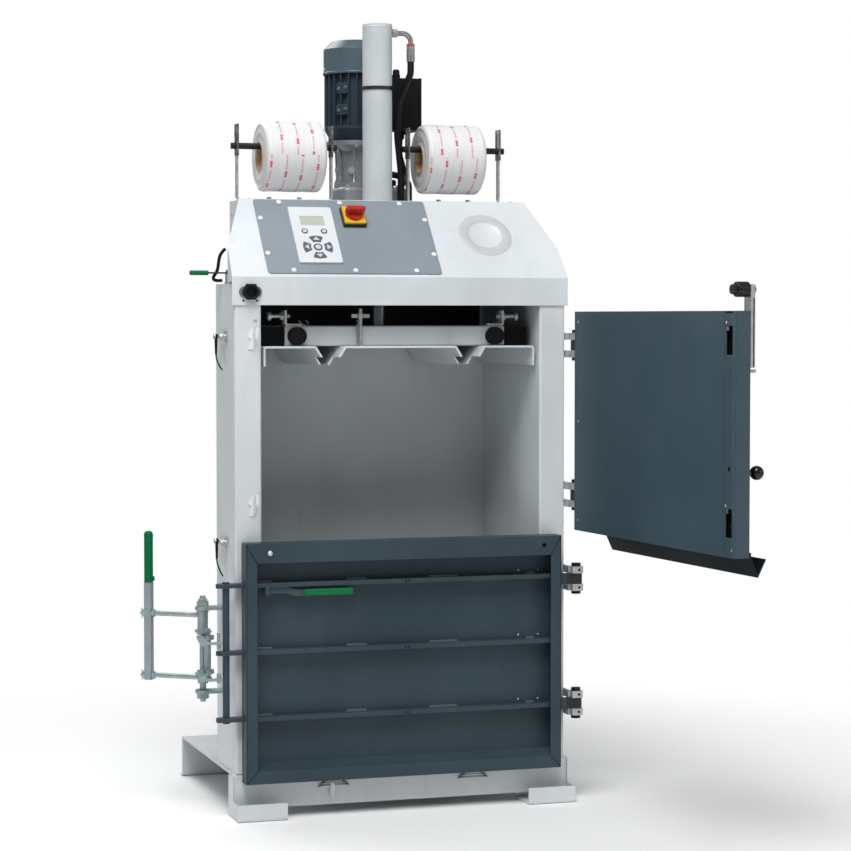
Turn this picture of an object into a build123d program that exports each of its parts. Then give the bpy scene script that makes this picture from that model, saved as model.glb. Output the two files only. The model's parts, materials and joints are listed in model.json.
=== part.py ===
from build123d import *
import math
import os

# Vertical baler for cardboard and film, in millimetres.
# X runs to the right, Y to the rear and Z up. The origin is at floor level, in the middle of the
# machine, in the plane of the front posts.

MINIMUM = (Align.MIN, Align.MIN, Align.MIN)
ON_FLOOR = (Align.CENTER, Align.CENTER, Align.MIN)

# Base
base_half_width = 431
base_height = 108
base_depth = 591
base_sheet = 5
base_bend = 8
plinth_clearance = 20
rear_flange = 22
strap_slot_width = 56
strap_slot_height = 18
strap_slot_level = 78
strap_tongue_width = 9
strap_tongue_length = 42
tongue_shift = 5
foot_width = 124
foot_reach = 60
foot_lip = 42
foot_depth = 40
foot_sheet = 6
foot_overhang = 3

# Posts, chamber and roof
opening_half_width = 358
post_width = 67
post_depth = 190
jamb_depth = 157
post_sheet = 4
post_bend = 6
post_top = 1297
chamber_depth = 450
chamber_sheet = 4
chamber_lap = 8
roof_sheet = 4
stiffener_spacing = 400
stiffener_width = 80
stiffener_depth = 40
head_beam_height = 45
head_beam_depth = 50
head_beam_wall = 4
cabinet_half_width = 358
cabinet_rear = 330
cabinet_sheet = 3

# Hood with its sloping console
hood_sheet = 4
hood_half_width = 431
band_bottom = 1245
band_height = 69
slope_run = 168
slope_rise = 195
hood_shoulder_y = 60
hood_shoulder_half_width = 427
hood_top_half_width = 374
lip_depth = 12
hood_gap = 0.3
band_top = band_bottom + band_height
hood_top = band_top + slope_rise

# Control plate, in distances along the slope
plate_centre_u = -119
plate_centre_v = 131
plate_width = 442
plate_height = 244
plate_thickness = 3
plate_corner = 8
plate_screw_radius = 6.5
plate_screw_height = 2.6
plate_row_spacing = 156
plate_row_offset = 112.5
plate_column_offset = 212
plate_column_spacing = 116
keypad_centre_u = -202.5
keypad_centre_v = 132
keypad_width = 110
keypad_height = 184
keypad_thickness = 5
display_width = 61
display_height = 31
display_centre_v = 178
display_depth = 2
menu_button_radius = 8
menu_button_spacing = 49
menu_button_v = 143
rose_centre_v = 90
rose_inner_radius = 18
rose_outer_radius = 37
rose_button_angle = 56
centre_button_radius = 11
button_clearance = 0.4
button_stand = 1.2
button_travel = 1.0
switch_centre_u = -94
switch_centre_v = 192
switch_base_size = 60
switch_base_height = 8
switch_face_size = 54
switch_face_height = 6
knob_radius = 20
knob_height = 8
knob_grip_width = 13
knob_grip_length = 50
knob_grip_height = 19
spindle_radius = 4
fit = 0.05

# Hydraulic cylinder, hoses and power pack
cylinder_y = 220
cylinder_radius = 37.5
cylinder_bore = 30
cylinder_rise = 447
cylinder_top = hood_top + cylinder_rise
cylinder_bottom = 1262
gland_height = 40
cylinder_cap = 12
rod_radius = 22
piston_height = 30
piston_gap = 0.4
flange_size = 150
flange_height = 20
tie_height = 8
tie_thickness = 2.5
tie_drop = 166
tie_level = cylinder_top - tie_drop
port_drop = 21
port_level = cylinder_top - port_drop
port_radius = 10
port_length = 14
hose_radius = 8.5
elbow_radius = 6.5
elbow_reach = 88.6
ferrule_radius = 10
ferrule_drop = 29
ferrule_top = port_level - ferrule_drop
ferrule_length = 42
return_rise = 79
return_reach = 26
tank_x = 28
tank_y = 402
tank_width = 180
tank_depth = 136
tank_rise = 43
tank_top = hood_top + tank_rise
motor_x = 0
motor_y = 412
bell_height = 120
bell_radius = 66
bell_flange_radius = 78
motor_length = 172
motor_body_top = tank_top + bell_height + motor_length
motor_core_radius = 72
motor_radius = 83
motor_fin_count = 24
motor_fin_width = 4
motor_cone = 30
fan_cover_height = 87
fan_cover_wall = 2
fan_cover_chamfer = 22
vent_count = 12
terminal_width = 82
terminal_depth = 80
terminal_height = 135
terminal_drop = 141
terminal_bottom = motor_body_top - terminal_drop

# Strap reels
reel_y = 290
reel_half_span = 125.5
reel_centre = 225.5
reel_bar = 5
reel_bar_width = 16
reel_fork_width = 30
reel_rod_radius = 8
reel_rod_rise = 138
reel_rod_level = hood_top + reel_rod_rise
reel_fork_height = 55
reel_fork_top = reel_rod_level + reel_fork_height
reel_overhang = 12
roll_centre = 212
roll_radius = 89
roll_width = 156
core_outer_radius = 37
core_inner_radius = 33
core_width = 160
slack = 0.3

# Platen
platen_level = 1145
platen_front = 15
platen_rear = 435
platen_sheet = 5
platen_clearance = 9
platen_half_width = opening_half_width - platen_clearance
groove_centre = 180
groove_top_width = 73
groove_bottom_width = 18
groove_depth = 45
groove_front_depth = 27
groove_front_run = 60
platen_skirt = 49
beam_inset = 65
beam_half_length = platen_half_width - beam_inset
beam_height = 50
beam_depth = 50
beam_front = 60
beam_wall = 5
beam_spacing = 270
spine_spacing = 200
socket_size = 160
socket_height = 22
buffer_radius = 22
buffer_height = 25
buffer_spacing = 512
pad_depth = 38
pad_end_gap = 3
bracket_height = 88
bracket_width = 34
bracket_plate = 5
guide_bolt_radius = 6
guide_bolt_length = 56
clamp_rod_x = -93
clamp_rod_radius = 5
clamp_rod_height = 92

# Doors share one vertical hinge line at the right-hand post
hinge_x = 446
hinge_y = -28
door_front = 20
door_open_angle = 94.2
hinge_levels = (247, 561, 771, 1146)
knuckle_height = 26
knuckle_radius = 15
knuckle_gap = 0.5
block_size = 30
block_height = 17
block_arm = 9
block_arm_reach = 36
bolt_radius = 6
bolt_head_radius = 11
bolt_head_height = 8

# Lower door
lower_hinge_edge = 46
lower_free_edge = 856
lower_bottom = 89
lower_top = 672
lower_back = -26
lower_sheet = 4
stile_width = 28
top_rail_height = 48
bottom_rail_height = 30
ledge_rise = 15
rib_levels = (245, 407, 569.5)
rib_thickness = 10
rib_front = 8
rail_hole_radius = 6
rail_hole_offset = 60
rail_hole_level = 648
lug_reach = 67
lug_half_width = 14
lock_bar_s = 898
lock_bar_t = -11
lock_bar_radius = 8.5
lock_bar_overhang = 9
lever_pivot_s = 798
lever_pin_radius = 4
lever_knuckle_radius = 8
lever_length = 93
lever_height = 18
lever_thickness = 5
lever_drop = 8
grip_radius = 8.5
grip_length = 122

# Upper door
upper_hinge_edge = 31
upper_free_edge = 848
upper_bottom = 686
upper_top = 1230
upper_back = -20
upper_sheet = 2.5
liner_sheet = 3
apron_start = 122
apron_low_t = 21
apron_drop = 44
apron_high_t = 41
apron_rise = 40
apron_sheet = 3
keeper_s = 823
keeper_levels = (762, 1165)
keeper_slot_width = 30
liner_hole_level = 881
liner_hole_radius = 6
keeper_slot_height = 64
keeper_thickness = 6
keeper_reach = 34
keeper_arm_height = 13
keeper_lip = 6
keeper_lip_rise = 13
keeper_back = 15
latch_lift = 14
latch_bar_width = 18
latch_bar_thickness = 4
latch_bar_offset = 27
latch_nose_height = 8
latch_running_gap = 3
ball_level = 872
ball_radius = 16
ball_stand = 30
ball_stem_radius = 5
strip_width = 30
plug_offset = 9
strip_pin_drop = 8
strip_depth = 11
strip_sheet = 2.5
strip_bottom = 1105
strip_top = 1288
plug_level = 1277
plug_radius = 17
plug_nose_radius = 11
plug_shoulder_t = -10
plug_tip_t = -20
strip_pin_radius = 4
strip_pin_length = 20
socket_flats = 38
socket_stand = 12
socket_floor = 1.5
socket_bore = 13

# Toggle latch on the left-hand side
toggle_x = -477
toggle_y = 127
toggle_bottom = 278
toggle_top = 518
toggle_pin_radius = 8
toggle_nut_radius = 13
toggle_nut_height = 13
sleeve_radius = 13
sleeve_bottom = 316
sleeve_height = 29
sleeve_gap = 2
handle_angle = 144
handle_length = 145
handle_rod_radius = 6.5
handle_rod_levels = (330, 484)
handle_bar_width = 18
handle_bar_thickness = 18
handle_nut_radius = 9
handle_nut_height = 8
handle_bar_bottom = 318
handle_bar_top = 560
handle_grip_top = 678
handle_grip_radius = 11
crank_angle = -80
crank_throw = 30
crank_thickness = 6
crank_levels = (334, 440)
crank_half_width = 14
crank_pin_radius = 6
claw_levels = (343, 431)
claw_thickness = 6
claw_hub_radius = 16
claw_tube_radius = 8.5
claw_arm_width = 16
claw_arm_offset = 19
claw_mouth = 2
claw_tooth = 14
claw_tooth_reach = 24
claw_release = 18
claw_pin_radius = 4
claw_pin_height = 26
toggle_bracket_thickness = 8
toggle_bracket_width = 38

# Small fittings on the left-hand side
catch_levels = (666, 1169)
catch_y = 80
catch_plate = 3
catch_width = 26
catch_height = 26
catch_boss_radius = 6
catch_boss_length = 7
catch_arm_length = 48
catch_arm_height = 9
catch_arm_thickness = 4
catch_pin_radius = 3
catch_head_radius = 6
catch_head_height = 4
tongue_width = 20
tongue_tip_width = 6
tongue_length = 44
tongue_thickness = 4
loop_radius = 1.8
loop_drop = 72
loop_run = 66
hand_lever_y = 120
hand_lever_x = -410
hand_lever_level = 1322
hand_lever_length = 52
hand_lever_width = 10
hand_lever_thickness = 4
hand_grip_length = 46
hand_grip_radius = 6
hand_post_radius = 9
hand_pin_radius = 3.5

# Worked-out sizes
post_outer = opening_half_width + post_width
chamber_half_width = opening_half_width + post_sheet + chamber_sheet
chamber_rear = chamber_depth + chamber_sheet
roof_top = post_top + roof_sheet
hood_rear = slope_run - hood_sheet
slope_angle = math.degrees(math.atan2(slope_rise, slope_run))
slope_length = math.hypot(slope_rise, slope_run)
rose_centre = (keypad_centre_u, rose_centre_v)
slope = Plane(
    origin=(0, -hood_sheet, band_top),
    x_dir=(1, 0, 0),
    z_dir=(0, -slope_rise / slope_length, slope_run / slope_length),
)
bell_top = tank_top + bell_height
fan_cover_top = motor_body_top + fan_cover_height
rod_top = cylinder_top - cylinder_cap - 14
strap_slots = (-groove_centre, groove_centre)


def door_plane(angle):
    """Plane of a door turned open by an angle: x from the hinge line to the free edge, y outwards."""
    turn = math.radians(angle)
    return Plane(
        origin=(hinge_x, hinge_y, 0),
        x_dir=(-math.cos(turn), -math.sin(turn), 0),
        z_dir=(0, 0, 1),
    )


def keep(piece, name):
    """Labels a finished piece and writes it to its own file."""
    piece.part.label = name
    export_step(piece.part, f"parts/{name}.step")


def span(low, high):
    """Length and middle of a stretch."""
    return high - low, (low + high) / 2


def knuckles(plane, levels, edge):
    """Hinge barrels of one door, reaching to its hinge edge."""
    with BuildPart() as barrels:
        for level in levels:
            with BuildSketch(plane.offset(level - knuckle_height / 2)):
                Circle(knuckle_radius)
                Rectangle(edge, 2 * (knuckle_radius - 5), align=(Align.MIN, Align.CENTER))
                Circle(bolt_radius + fit, mode=Mode.SUBTRACT)
            extrude(amount=knuckle_height)
    return barrels.part


def rose_segment(angle, grow):
    """Outline of one curved button of the rose, widened by a margin."""
    half = math.radians(rose_button_angle / 2)
    reach = 2 * rose_outer_radius
    shift = grow / math.sin(half)
    wedge = []
    for away, spread in ((0, 0), (reach, -half), (reach, half)):
        x = away * math.cos(spread) - shift
        y = away * math.sin(spread)
        turn = math.radians(angle)
        wedge.append(
            (
                rose_centre[0] + x * math.cos(turn) - y * math.sin(turn),
                rose_centre[1] + x * math.sin(turn) + y * math.cos(turn),
            )
        )
    with BuildSketch() as segment:
        with BuildLine():
            Polyline(*wedge, close=True)
        make_face()
        with Locations(rose_centre):
            Circle(rose_outer_radius + grow, mode=Mode.INTERSECT)
            Circle(rose_inner_radius - grow, mode=Mode.SUBTRACT)
    return segment.sketch


os.makedirs("parts", exist_ok=True)
lower = door_plane(0)
upper = door_plane(door_open_angle)

# Base: one folded sheet with a front plinth, a top plate and a rear leg
with BuildPart() as base_frame:
    with BuildSketch(Plane.YZ.offset(-base_half_width)):
        with BuildLine():
            FilletPolyline(
                (3 * base_sheet, plinth_clearance),
                (0, plinth_clearance),
                (0, base_height),
                (base_depth, base_height),
                (base_depth, base_sheet),
                (base_depth + rear_flange, base_sheet),
                radius=base_bend,
            )
            offset(amount=base_sheet, side=Side.RIGHT)
        make_face()
    extrude(amount=2 * base_half_width)
    with BuildSketch(Plane.XZ):
        with Locations(*[(x, strap_slot_level) for x in strap_slots]):
            SlotOverall(strap_slot_width, strap_slot_height)
    extrude(amount=-base_sheet, mode=Mode.SUBTRACT)
    with Locations((strap_slots[0] - tongue_shift, 0, strap_slot_level + strap_slot_height / 2)):
        Box(strap_tongue_width, 2 * base_sheet, strap_tongue_length, align=(Align.CENTER, Align.CENTER, Align.MAX))
keep(base_frame, "base_frame")

# Front feet: folded channels screwed behind the plinth
with BuildPart() as front_feet:
    for side in (-1, 1):
        edge = side * (base_half_width + foot_overhang)
        with BuildSketch(Plane.YZ.offset(edge)):
            with BuildLine():
                FilletPolyline(
                    (-foot_reach, foot_lip),
                    (-foot_reach, 0),
                    (foot_depth, 0),
                    (foot_depth, base_height - base_sheet),
                    (base_bend + 1, base_height - base_sheet),
                    radius=foot_sheet + 2,
                )
                offset(amount=foot_sheet, side=Side.LEFT)
            make_face()
        extrude(amount=-side * foot_width)
keep(front_feet, "front_feet")

# Posts: folded channels that carry the doors and the hood
slot_length, slot_middle = span(jamb_depth, post_depth + 1)
with BuildPart() as portal_posts:
    for side in (-1, 1):
        with BuildSketch(Plane.XY.offset(base_height)):
            with Locations((side * (opening_half_width + post_width / 2), post_depth / 2)):
                RectangleRounded(post_width, post_depth, post_bend)
        extrude(amount=post_top - base_height)
        with BuildSketch(Plane.XY.offset(base_height)):
            with Locations((side * (opening_half_width + post_width / 2), post_depth / 2)):
                RectangleRounded(
                    post_width - 2 * post_sheet, post_depth - 2 * post_sheet, post_bend - post_sheet
                )
        extrude(amount=post_top - base_height - post_sheet, mode=Mode.SUBTRACT)
        with BuildSketch(Plane.XY.offset(base_height)):
            with Locations((side * (opening_half_width + chamber_sheet), slot_middle)):
                Rectangle(2 * chamber_sheet, slot_length)
            with Locations((side * (opening_half_width + post_sheet + chamber_sheet / 2), slot_middle)):
                Rectangle(chamber_sheet, slot_length + 2 * chamber_lap)
        extrude(amount=post_top - base_height, mode=Mode.SUBTRACT)
keep(portal_posts, "portal_posts")

# Chamber shell: sides and rear wall folded from one sheet
with BuildPart() as chamber_shell:
    with BuildSketch(Plane.XY.offset(base_height)):
        shell_length, shell_middle = span(jamb_depth - chamber_lap, chamber_rear)
        with Locations((0, shell_middle)):
            Rectangle(2 * chamber_half_width, shell_length)
        with Locations((0, shell_middle - chamber_sheet)):
            Rectangle(2 * (chamber_half_width - chamber_sheet), shell_length, mode=Mode.SUBTRACT)
    extrude(amount=post_top - base_height)
keep(chamber_shell, "chamber_shell")

# Head beam between the posts and upright channels on the rear wall
with BuildPart() as frame_channels:
    beam_middle = post_top - head_beam_height / 2
    with BuildSketch(Plane.YZ.offset(-opening_half_width)):
        with Locations((head_beam_depth / 2, beam_middle)):
            RectangleRounded(head_beam_depth, head_beam_height, head_beam_wall)
            RectangleRounded(
                head_beam_depth - 2 * head_beam_wall,
                head_beam_height - 2 * head_beam_wall,
                1,
                mode=Mode.SUBTRACT,
            )
    extrude(amount=2 * opening_half_width)
    for x in (-stiffener_spacing / 2, stiffener_spacing / 2):
        with BuildSketch(Plane.XY.offset(base_height)):
            with Locations((x, chamber_rear + stiffener_depth / 2)):
                Rectangle(stiffener_width, stiffener_depth)
            with Locations((x, chamber_rear + stiffener_depth / 2 - chamber_sheet)):
                Rectangle(stiffener_width - 2 * chamber_sheet, stiffener_depth, mode=Mode.SUBTRACT)
        extrude(amount=post_top - base_height)
keep(frame_channels, "frame_channels")

# Roof of the chamber, which carries the cylinder and the tank
with BuildPart() as chamber_roof:
    with BuildSketch(Plane.XY.offset(post_top)):
        roof_length, roof_middle = span(0, chamber_rear)
        with Locations((0, roof_middle)):
            Rectangle(2 * chamber_half_width, roof_length)
        with Locations((0, cylinder_y)):
            Circle(cylinder_radius + 1, mode=Mode.SUBTRACT)
    extrude(amount=roof_sheet)
keep(chamber_roof, "chamber_roof")

# Cabinet over the roof, open to the hood at the front
with BuildPart() as cabinet:
    cabinet_length, cabinet_middle = span(hood_rear + hood_gap, cabinet_rear)
    with Locations((0, cabinet_middle, roof_top)):
        Box(2 * cabinet_half_width, cabinet_length, hood_top - roof_top, align=ON_FLOOR)
    with Locations((0, cabinet_middle - cabinet_sheet, roof_top)):
        Box(
            2 * (cabinet_half_width - cabinet_sheet),
            cabinet_length,
            hood_top - roof_top - cabinet_sheet,
            align=ON_FLOOR,
            mode=Mode.SUBTRACT,
        )
    with Locations((0, cylinder_y, hood_top)):
        Cylinder(cylinder_radius + 1, 4 * cabinet_sheet, mode=Mode.SUBTRACT)
keep(cabinet, "cabinet")

# Hood: band, slope and canted cheeks in one folded sheet
with BuildPart() as hood:
    plan = [
        (-hood_half_width, -hood_sheet),
        (hood_half_width, -hood_sheet),
        (hood_shoulder_half_width, hood_shoulder_y),
        (hood_top_half_width, hood_rear),
        (-hood_top_half_width, hood_rear),
        (-hood_shoulder_half_width, hood_shoulder_y),
    ]
    with BuildSketch(Plane.XY.offset(band_bottom)):
        with BuildLine():
            Polyline(*plan, close=True)
        make_face()
    extrude(amount=hood_top - band_bottom)
    with BuildSketch(Plane.YZ.offset(-hood_half_width)):
        with BuildLine():
            Polyline(
                (-hood_sheet, band_bottom),
                (-hood_sheet, band_top),
                (hood_rear, hood_top),
                (hood_rear, band_bottom),
                close=True,
            )
        make_face()
    extrude(amount=2 * hood_half_width, mode=Mode.INTERSECT)
    open_sides = faces().sort_by(Axis.Z)[0:1] + faces().filter_by(Axis.Y).sort_by(Axis.Y)[-1:]
    offset(amount=-hood_sheet, openings=open_sides)
    with Locations((0, 0, roof_top + hood_gap)):
        Box(
            3 * hood_half_width,
            2 * hood_rear,
            2 * band_height,
            align=(Align.CENTER, Align.MIN, Align.MAX),
            mode=Mode.SUBTRACT,
        )
    with Locations((0, -hood_sheet, band_bottom)):
        Box(2 * opening_half_width - 2, lip_depth, 2, align=(Align.CENTER, Align.MIN, Align.MIN))
keep(hood, "hood")

# Control plate on the slope, with its screws
with BuildPart() as control_plate:
    with BuildSketch(slope):
        with Locations((plate_centre_u, plate_centre_v)):
            RectangleRounded(plate_width, plate_height, plate_corner)
    extrude(amount=plate_thickness)
keep(control_plate, "control_plate")

plate_face = slope.offset(plate_thickness)
screw_places = [
    (plate_centre_u + i * plate_row_spacing, plate_centre_v + j * plate_row_offset)
    for i in (-1, 0, 1)
    for j in (-1, 1)
] + [
    (plate_centre_u + i * plate_column_offset, plate_centre_v + j * plate_column_spacing / 2)
    for i in (-1, 1)
    for j in (-1, 1)
]
with BuildPart() as plate_screws:
    with BuildSketch(plate_face):
        with Locations(*screw_places):
            Circle(plate_screw_radius)
    extrude(amount=plate_screw_height)
    fillet(edges().filter_by(GeomType.CIRCLE).group_by(Axis((0, 0, 0), plate_face.z_dir))[-1], 1.6)
keep(plate_screws, "plate_screws")

# Keypad housing with a sunk display and seven through-holes for its buttons
rose_turns = {"right_button": 0, "up_button": 90, "left_button": 180, "down_button": 270}
keypad_face = slope.offset(plate_thickness + keypad_thickness)
menu_places = [(keypad_centre_u + side * menu_button_spacing / 2, menu_button_v) for side in (-1, 1)]
rose_holes = [rose_segment(turn, button_clearance) for turn in rose_turns.values()]
with BuildPart() as keypad:
    with BuildSketch(plate_face):
        with Locations((keypad_centre_u, keypad_centre_v)):
            RectangleRounded(keypad_width, keypad_height, 4)
        with Locations(*menu_places):
            Circle(menu_button_radius + button_clearance, mode=Mode.SUBTRACT)
        with Locations(rose_centre):
            Circle(centre_button_radius + button_clearance, mode=Mode.SUBTRACT)
        add(rose_holes, mode=Mode.SUBTRACT)
    extrude(amount=keypad_thickness)
    with BuildSketch(keypad_face):
        with Locations((keypad_centre_u, display_centre_v)):
            Rectangle(display_width, display_height)
    extrude(amount=-display_depth, mode=Mode.SUBTRACT)
keep(keypad, "keypad")

with BuildPart() as display:
    with BuildSketch(keypad_face.offset(-display_depth)):
        with Locations((keypad_centre_u, display_centre_v)):
            Rectangle(display_width - 0.4, display_height - 0.4)
    extrude(amount=display_depth - 0.6)
keep(display, "display")

button_bottom = slope.offset(plate_thickness + button_travel + 0.2)
button_height = keypad_thickness + button_stand - button_travel - 0.2
for place, name in zip(menu_places, ("menu_button_left", "menu_button_right")):
    with BuildPart() as menu_button:
        with BuildSketch(button_bottom):
            with Locations(place):
                Circle(menu_button_radius)
        extrude(amount=button_height)
    keep(menu_button, name)

with BuildPart() as enter_button:
    with BuildSketch(button_bottom):
        with Locations(rose_centre):
            Circle(centre_button_radius)
    extrude(amount=button_height)
keep(enter_button, "enter_button")

for name, turn in rose_turns.items():
    petal = rose_segment(turn, 0)
    with BuildPart() as rose_button:
        with BuildSketch(button_bottom):
            add(petal)
        extrude(amount=button_height)
    keep(rose_button, name)

# Main switch: black base, yellow face plate and red rotary knob
switch_place = (switch_centre_u, switch_centre_v)
switch_face = plate_face.offset(switch_base_height)
knob_seat = switch_face.offset(switch_face_height)
with BuildPart() as switch_base:
    with BuildSketch(plate_face):
        with Locations(switch_place):
            RectangleRounded(switch_base_size, switch_base_size, 3)
            Circle(spindle_radius + fit, mode=Mode.SUBTRACT)
    extrude(amount=switch_base_height)
    with BuildSketch(switch_face):
        with Locations(switch_place):
            RectangleRounded(switch_face_size, switch_face_size, 3)
            Circle(spindle_radius + fit, mode=Mode.SUBTRACT)
    extrude(amount=switch_face_height)
keep(switch_base, "switch_base")

with BuildPart() as switch_knob:
    with BuildSketch(knob_seat.offset(slack)):
        with Locations(switch_place):
            Circle(knob_radius)
    extrude(amount=knob_height)
    with BuildSketch(knob_seat.offset(slack + knob_height)):
        with Locations(switch_place):
            SlotOverall(knob_grip_length, knob_grip_width)
    extrude(amount=knob_grip_height)
    fillet(faces().sort_by(Axis((0, 0, 0), slope.z_dir))[-1].edges(), 2)
    with BuildSketch(knob_seat.offset(slack)):
        with Locations(switch_place):
            Circle(spindle_radius)
    extrude(amount=-switch_face_height - switch_base_height / 2)
keep(switch_knob, "switch_knob")

# Socket on the band that receives the plug of the upper door
socket_x = hinge_x - keeper_s - plug_offset
socket_plane = Plane.XZ.offset(hood_sheet)
with BuildPart() as interlock_socket:
    with BuildSketch(socket_plane):
        with Locations((socket_x, plug_level)):
            SlotOverall(socket_flats + 18, socket_flats - 12)
            Circle(socket_bore, mode=Mode.SUBTRACT)
    extrude(amount=4)
    with BuildSketch(socket_plane):
        with Locations((socket_x, plug_level)):
            RegularPolygon(socket_flats / 2, 6, major_radius=False)
            Circle(socket_bore, mode=Mode.SUBTRACT)
    extrude(amount=socket_stand)
    with BuildSketch(socket_plane):
        with Locations((socket_x, plug_level)):
            Circle(socket_bore + 1)
    extrude(amount=socket_floor)
keep(interlock_socket, "interlock_socket")

# Cylinder: tube with a closed top, a gland at its lower end, a mounting flange and a tie band
band_radius = cylinder_radius + tie_thickness
cylinder_collars = (
    (roof_top, flange_height, (flange_size, flange_size, 12)),
    (tie_level, tie_height, (2 * band_radius, 2 * band_radius, band_radius - 0.01)),
)
with BuildPart() as cylinder_tube:
    with BuildSketch(Plane.XZ.offset(-cylinder_y)):
        with BuildLine():
            Polyline(
                (rod_radius + fit, cylinder_bottom),
                (cylinder_radius, cylinder_bottom),
                (cylinder_radius, cylinder_top - 2),
                (cylinder_radius - 2, cylinder_top),
                (0, cylinder_top),
                (0, cylinder_top - cylinder_cap),
                (cylinder_bore, cylinder_top - cylinder_cap),
                (cylinder_bore, cylinder_bottom + gland_height),
                (rod_radius + fit, cylinder_bottom + gland_height),
                close=True,
            )
        make_face()
    revolve(axis=Axis((0, cylinder_y, 0), (0, 0, 1)))
    for level, height, outline in cylinder_collars:
        with BuildSketch(Plane.XY.offset(level)):
            with Locations((0, cylinder_y)):
                RectangleRounded(*outline)
                Circle(cylinder_radius - 1, mode=Mode.SUBTRACT)
        extrude(amount=height)
keep(cylinder_tube, "cylinder_tube")

with BuildPart() as piston_rod:
    with BuildSketch(Plane.XZ.offset(-cylinder_y)):
        with BuildLine():
            Polyline(
                (0, platen_level + beam_height),
                (rod_radius, platen_level + beam_height),
                (rod_radius, rod_top - piston_height),
                (cylinder_bore - piston_gap, rod_top - piston_height),
                (cylinder_bore - piston_gap, rod_top),
                (0, rod_top),
                close=True,
            )
        make_face()
    revolve(axis=Axis((0, cylinder_y, 0), (0, 0, 1)))
keep(piston_rod, "piston_rod")

# Port nut, elbow and ferrule at the top of the cylinder
with BuildPart() as port_elbow:
    nut_start = math.sqrt(cylinder_radius**2 - port_radius**2)
    with BuildSketch(Plane.YZ.offset(cylinder_radius)):
        with Locations((cylinder_y, port_level)):
            RegularPolygon(port_radius, 6, major_radius=False)
    extrude(amount=port_length)
    with BuildLine() as elbow_path:
        FilletPolyline(
            (cylinder_radius + port_length, cylinder_y, port_level),
            (elbow_reach, cylinder_y, port_level),
            (elbow_reach, cylinder_y, ferrule_top),
            radius=22,
        )
    with BuildSketch(Plane.YZ.offset(cylinder_radius + port_length)):
        with Locations((cylinder_y, port_level)):
            Circle(elbow_radius)
    sweep(path=elbow_path.line)
    with BuildSketch(Plane.XY.offset(ferrule_top)):
        with Locations((elbow_reach, cylinder_y)):
            Circle(ferrule_radius)
    extrude(amount=-ferrule_length)
keep(port_elbow, "port_elbow")

# Hoses, clipped at both ends
hose_start = ferrule_top - ferrule_length
hose_fall = hose_start - hood_top
return_x = motor_x + bell_radius
return_y = motor_y - 20
return_level = hood_top + return_rise
pressure_route = [
    (elbow_reach, cylinder_y, hose_start),
    (elbow_reach, cylinder_y, hose_start - 0.085 * hose_fall),
    (elbow_reach - 11, reel_y - 4, hose_start - 0.265 * hose_fall),
    (elbow_reach - 8, reel_y + 24, hose_start - 0.49 * hose_fall),
    (elbow_reach + 3, reel_y + 25, hose_start - 0.772 * hose_fall),
    (elbow_reach + 3, reel_y + 25, hood_top),
]
pressure_bends = (0.0676 * hose_fall, 0.169 * hose_fall, 0.4225 * hose_fall, 0.4225 * hose_fall)
return_route = [
    (return_x, return_y, return_level),
    (return_x + return_reach, return_y, return_level),
    (elbow_reach + return_reach, reel_y + 70, return_level - 8),
    (elbow_reach + return_reach, reel_y + 30, return_level - 30),
    (elbow_reach + return_reach, reel_y + 30, hood_top),
]
with BuildPart() as hydraulic_hoses:
    with BuildLine() as hose_path:
        FilletPolyline(*pressure_route, radius=pressure_bends)
    with BuildSketch(Plane.XY.offset(hose_start)):
        with Locations((elbow_reach, cylinder_y)):
            Circle(hose_radius)
    sweep(path=hose_path.line)
    with BuildLine() as return_path:
        FilletPolyline(*return_route, radius=(14, 16, 14))
    with BuildSketch(Plane.YZ.offset(return_x)):
        with Locations((return_y, return_level)):
            Circle(hose_radius)
    sweep(path=return_path.line)
keep(hydraulic_hoses, "hydraulic_hoses")

# Power pack: tank, pump bell, motor, fan cover and terminal box
with BuildPart() as oil_tank:
    with BuildSketch(Plane.XY.offset(roof_top)):
        with Locations((tank_x, tank_y)):
            RectangleRounded(tank_width, tank_depth, 22)
    extrude(amount=tank_top - roof_top)
    fillet(faces().sort_by(Axis.Z)[-1].edges(), 10)
    with BuildSketch(Plane.XZ.offset(-motor_y)):
        with BuildLine():
            Polyline(
                (0, tank_top),
                (bell_radius - 8, tank_top),
                (bell_radius - 8, tank_top + 12),
                (bell_radius - 20, tank_top + 12),
                (bell_radius - 14, bell_top - 26),
                (bell_radius, bell_top - 12),
                (bell_flange_radius, bell_top - 12),
                (bell_flange_radius, bell_top),
                (0, bell_top),
                close=True,
            )
        make_face()
    revolve(axis=Axis((motor_x, motor_y, 0), (0, 0, 1)))
keep(oil_tank, "oil_tank")

with BuildPart() as motor_body:
    with BuildSketch(Plane.XZ.offset(-motor_y)):
        with BuildLine():
            Polyline(
                (0, bell_top),
                (bell_radius, bell_top),
                (motor_radius, bell_top + motor_cone),
                (motor_radius, bell_top + motor_cone + 8),
                (motor_core_radius, bell_top + motor_cone + 8),
                (motor_core_radius, motor_body_top),
                (0, motor_body_top),
                close=True,
            )
        make_face()
    revolve(axis=Axis((motor_x, motor_y, 0), (0, 0, 1)))
    with BuildSketch(Plane.XY.offset(bell_top + motor_cone + 8)):
        with Locations((motor_x, motor_y)):
            with PolarLocations((motor_core_radius + motor_radius) / 2 - 2, motor_fin_count):
                Rectangle(motor_radius - motor_core_radius + 4, motor_fin_width)
    extrude(amount=motor_body_top - bell_top - motor_cone - 8)
    with BuildSketch(Plane.XY.offset(motor_body_top)):
        with Locations((motor_x, motor_y)):
            Circle(26)
    extrude(amount=40)
    with BuildSketch(Plane.XY.offset(motor_body_top + 6)):
        with Locations((motor_x, motor_y)):
            with PolarLocations(45, 7):
                Rectangle(44, 3)
    extrude(amount=30)
keep(motor_body, "motor_body")

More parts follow.
